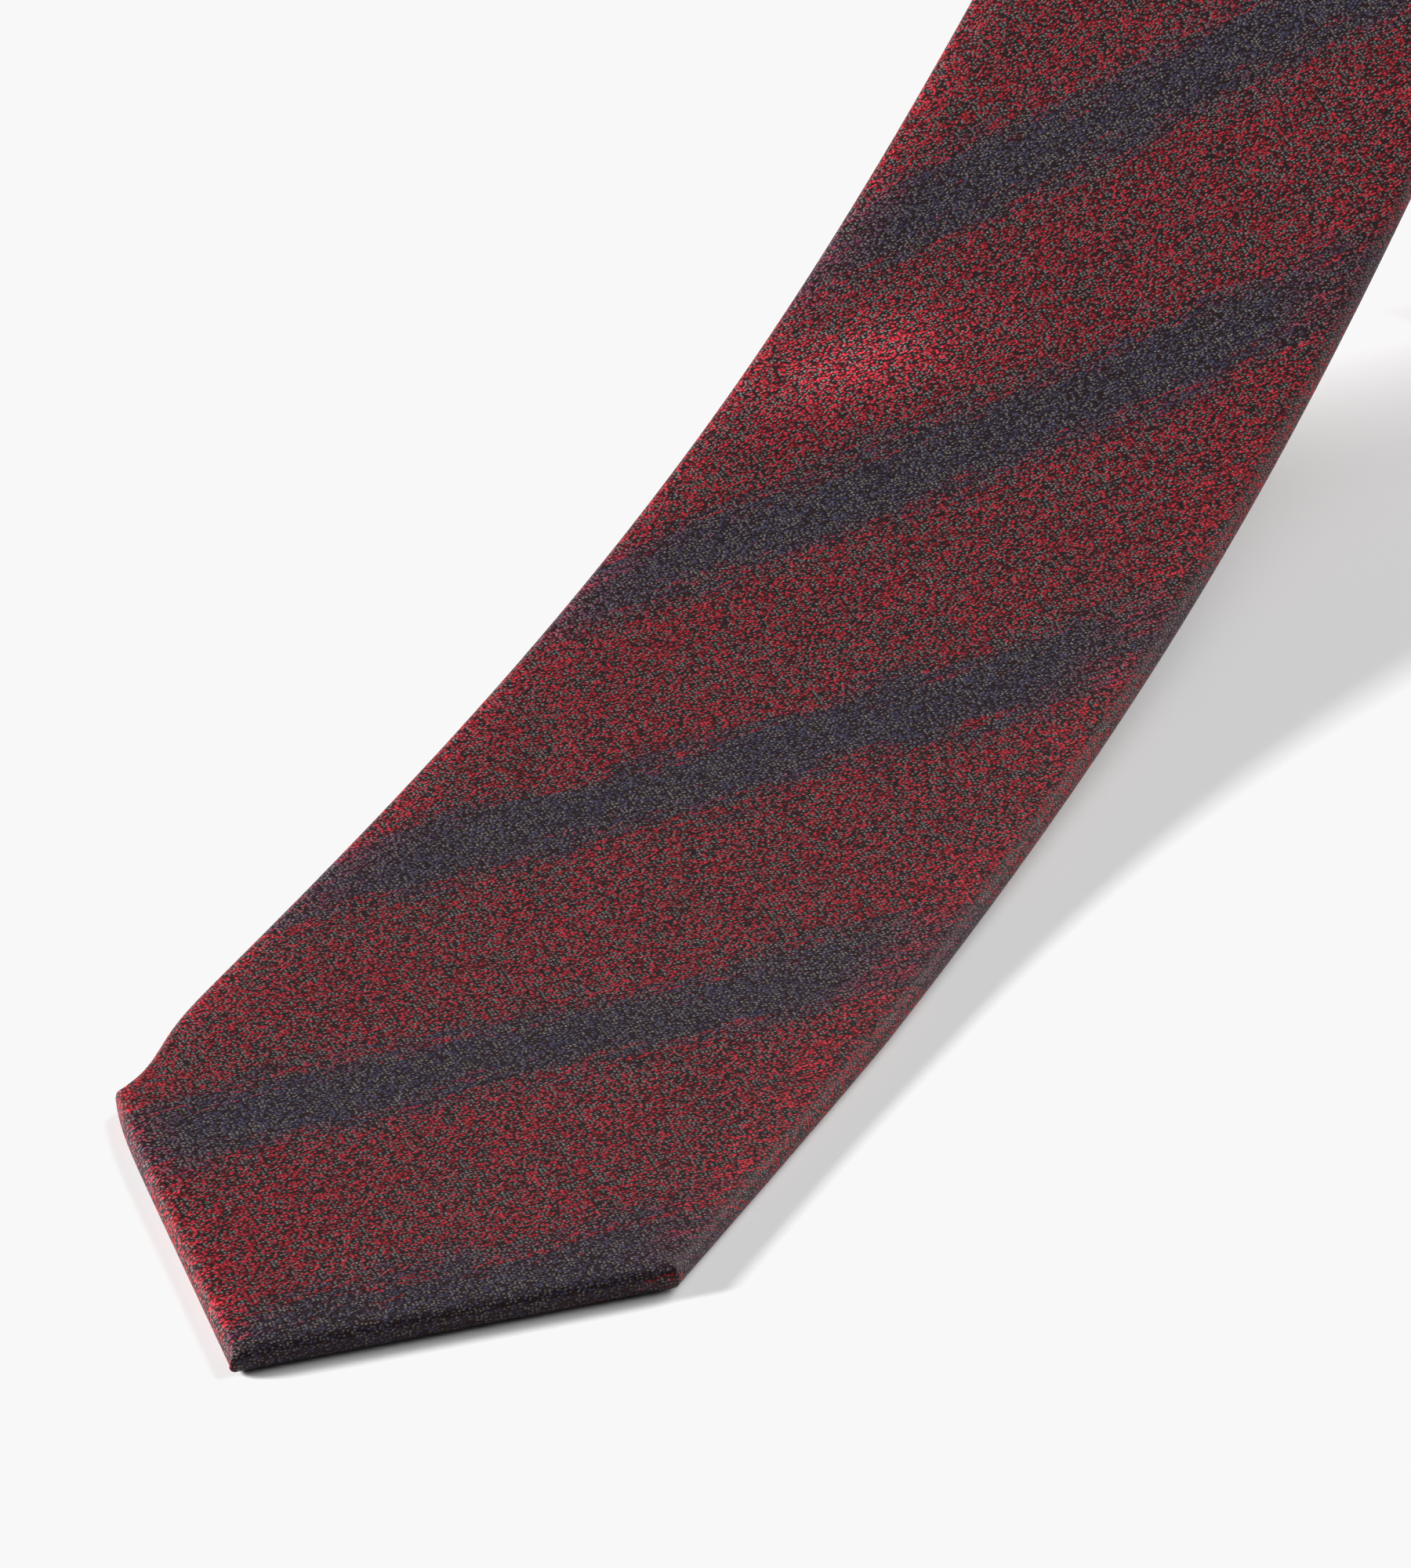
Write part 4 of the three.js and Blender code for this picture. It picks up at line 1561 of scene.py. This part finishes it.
@dataclass
class CareTag:
    """A blank ribbon that hangs from a row of stitches on the back of the blade."""

    at: float = 254.0
    curl: float = 0.5
    held: float = 0.3
    stitch_pitch: float = 2.4

    def build(self, tie: Tie, laid: StitchTree) -> list[Piece]:
        """Make the ribbon and the stitches that hold it."""
        low, high = (np.array(corner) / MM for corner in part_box("care_tag"))
        half, length, thick = (high[0] - low[0]) / 2, high[2] - low[2], high[1] - low[1]
        outline = np.array(band(half, -thick / 2, thick / 2, per_side=16))
        t = np.linspace(0, 1, 33)[:, None]
        wave = self.curl * (np.sin(math.pi * t * 1.3) * t + 0.25 * np.cos(outline[None, :, 0] / 4) * t)
        y = (low[1] + high[1]) / 2 + outline[None, :, 1] - wave
        z = np.broadcast_to(high[2] + self.held - (length + self.held) * t, y.shape)
        x = np.broadcast_to(outline[None, :, 0], y.shape)
        ribbon = Grid(np.stack([x, y, z], axis=-1) * MM, np.stack([x, t * length + 0 * x], axis=-1) * MM)
        piece = ribbon.solid("care_tag_ribbon")
        tie.wardrobe.dress(piece, Slot.TAG, "care_tag")
        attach(piece, Body.TAG.value)
        count = int(2 * (half - 1) / self.stitch_pitch)
        places = [-half + 1 + (2 * half - 2) * (k + 0.5) / count for k in range(count)]
        stitches = [Stitch(x, -0.45, self.at, self.stitch_pitch * 0.85) for x in places]
        row = laid.sew(tie, "care_tag_stitches", "care_tag_stitch", stitches)
        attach(row, Body.BLADE.value)
        return [piece, row]


# ---------------------------------------------------------------------------------------------
# Studio


@dataclass(frozen=True)
class Lamp:
    """A far, soft lamp: where it shines from, its strength, and how many degrees wide it looks."""

    name: str
    towards: tuple[float, float, float]
    strength: float
    spread: float

    def hang(self) -> None:
        """Put the lamp in the scene."""
        light = bpy.data.lights.new(self.name, "SUN")
        light.energy = self.strength
        light.angle = math.radians(self.spread)
        lamp = put(self.name, light)
        lamp.rotation_mode = "QUATERNION"
        lamp.rotation_quaternion = Vector(self.towards).to_track_quat("Z", "Y")


@dataclass
class Studio:
    """A white table in soft light, with the camera above and to the right of the point."""

    azimuth: float = 27.71
    elevation: float = 34.72
    distance: float = 1.2106
    lens: float = 234.0
    aim: Pair = (-7.21, 125.43)
    key: Lamp = Lamp("key", (-2.28, -1.13, 1.0), 7.4, 20.0)
    fill: Lamp = Lamp("fill", (0.5, 0.87, 0.6), 3.9, 60.0)
    sky: float = 0.04
    straight: float = 0.85
    white: float = 0.94
    floor_side: float = 6.0

    def build(self, tie: Tie) -> None:
        """Make the camera, the lights and the table."""
        self._camera(tie)
        for lamp in (self.key, self.fill):
            lamp.hang()
        self._room()
        self._table()

    def _camera(self, tie: Tie) -> None:
        """Place the camera by where it looks and from how far."""
        turn, tilt = math.radians(self.azimuth), math.radians(self.elevation)
        back = Vector((math.sin(turn) * math.cos(tilt), -math.cos(turn) * math.cos(tilt), math.sin(tilt)))
        right = Vector((math.cos(turn), math.sin(turn), 0))
        aim = Vector((self.aim[0], self.aim[1] + tie.path.shift[0], tie.path.shift[1])) * MM
        data = bpy.data.cameras.new("camera")
        data.lens = self.lens
        data.clip_start, data.clip_end = 0.05, 20
        camera = put("camera", data)
        facing = Matrix((right, back.cross(right), back)).transposed().to_4x4()
        camera.matrix_world = Matrix.Translation(aim + back * self.distance) @ facing
        bpy.context.scene.camera = camera

    def _room(self) -> None:
        """A dim sky that looks white, and the tone of paper white for what is over-exposed."""
        world = bpy.data.worlds.new("room")
        world.use_nodes = True
        room = world.node_tree.nodes["Background"]
        room.inputs["Color"].default_value = (1, 1, 1, 1)
        w = Wiring(world.node_tree)
        seen = w.add("ShaderNodeLightPath").outputs["Is Camera Ray"]
        w.feed(room.inputs["Strength"], w.math("MAXIMUM", seen, self.sky))
        bpy.context.scene.world = world
        view = bpy.context.scene.view_settings
        view.view_transform = "Standard"
        view.use_curve_mapping = True
        tone = view.curve_mapping.curves[3]
        tone.points[1].location = (1.0, self.white)
        for at in (self.straight, self.white):
            tone.points.new(at, at)
        for point in tone.points:
            point.handle_type = "VECTOR"
        view.curve_mapping.update()

    def _table(self) -> None:
        """A plain white table top."""
        half = self.floor_side / 2
        mesh = bpy.data.meshes.new("table")
        corners = [(-half, -half, 0), (half, -half, 0), (half, half, 0), (-half, half, 0)]
        mesh.from_pydata(corners, [], [(0, 1, 2, 3)])
        material, shader = new_material("table_white")
        shader.inputs["Base Color"].default_value = (0.9, 0.9, 0.9, 1)
        shader.inputs["Roughness"].default_value = 0.8
        shader.inputs["Specular IOR Level"].default_value = 0.1
        mesh.materials.append(material)
        put("table", mesh)


def main() -> None:
    """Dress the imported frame."""
    logging.basicConfig(level=logging.INFO, format="%(name)s: %(message)s")
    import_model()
    tie = Tie()
    Studio().build(tie)
    laid = StitchTree()
    pieces = [
        *Silk().build(tie),
        *Inside().build(tie),
        *BackSeam().build(tie, laid),
        *Label().build(tie, laid),
        *Keeper().build(tie, laid),
        *CareTag().build(tie, laid),
    ]
    LOG.info("%d pieces", len(pieces))


if __name__ == "__main__":
    main()
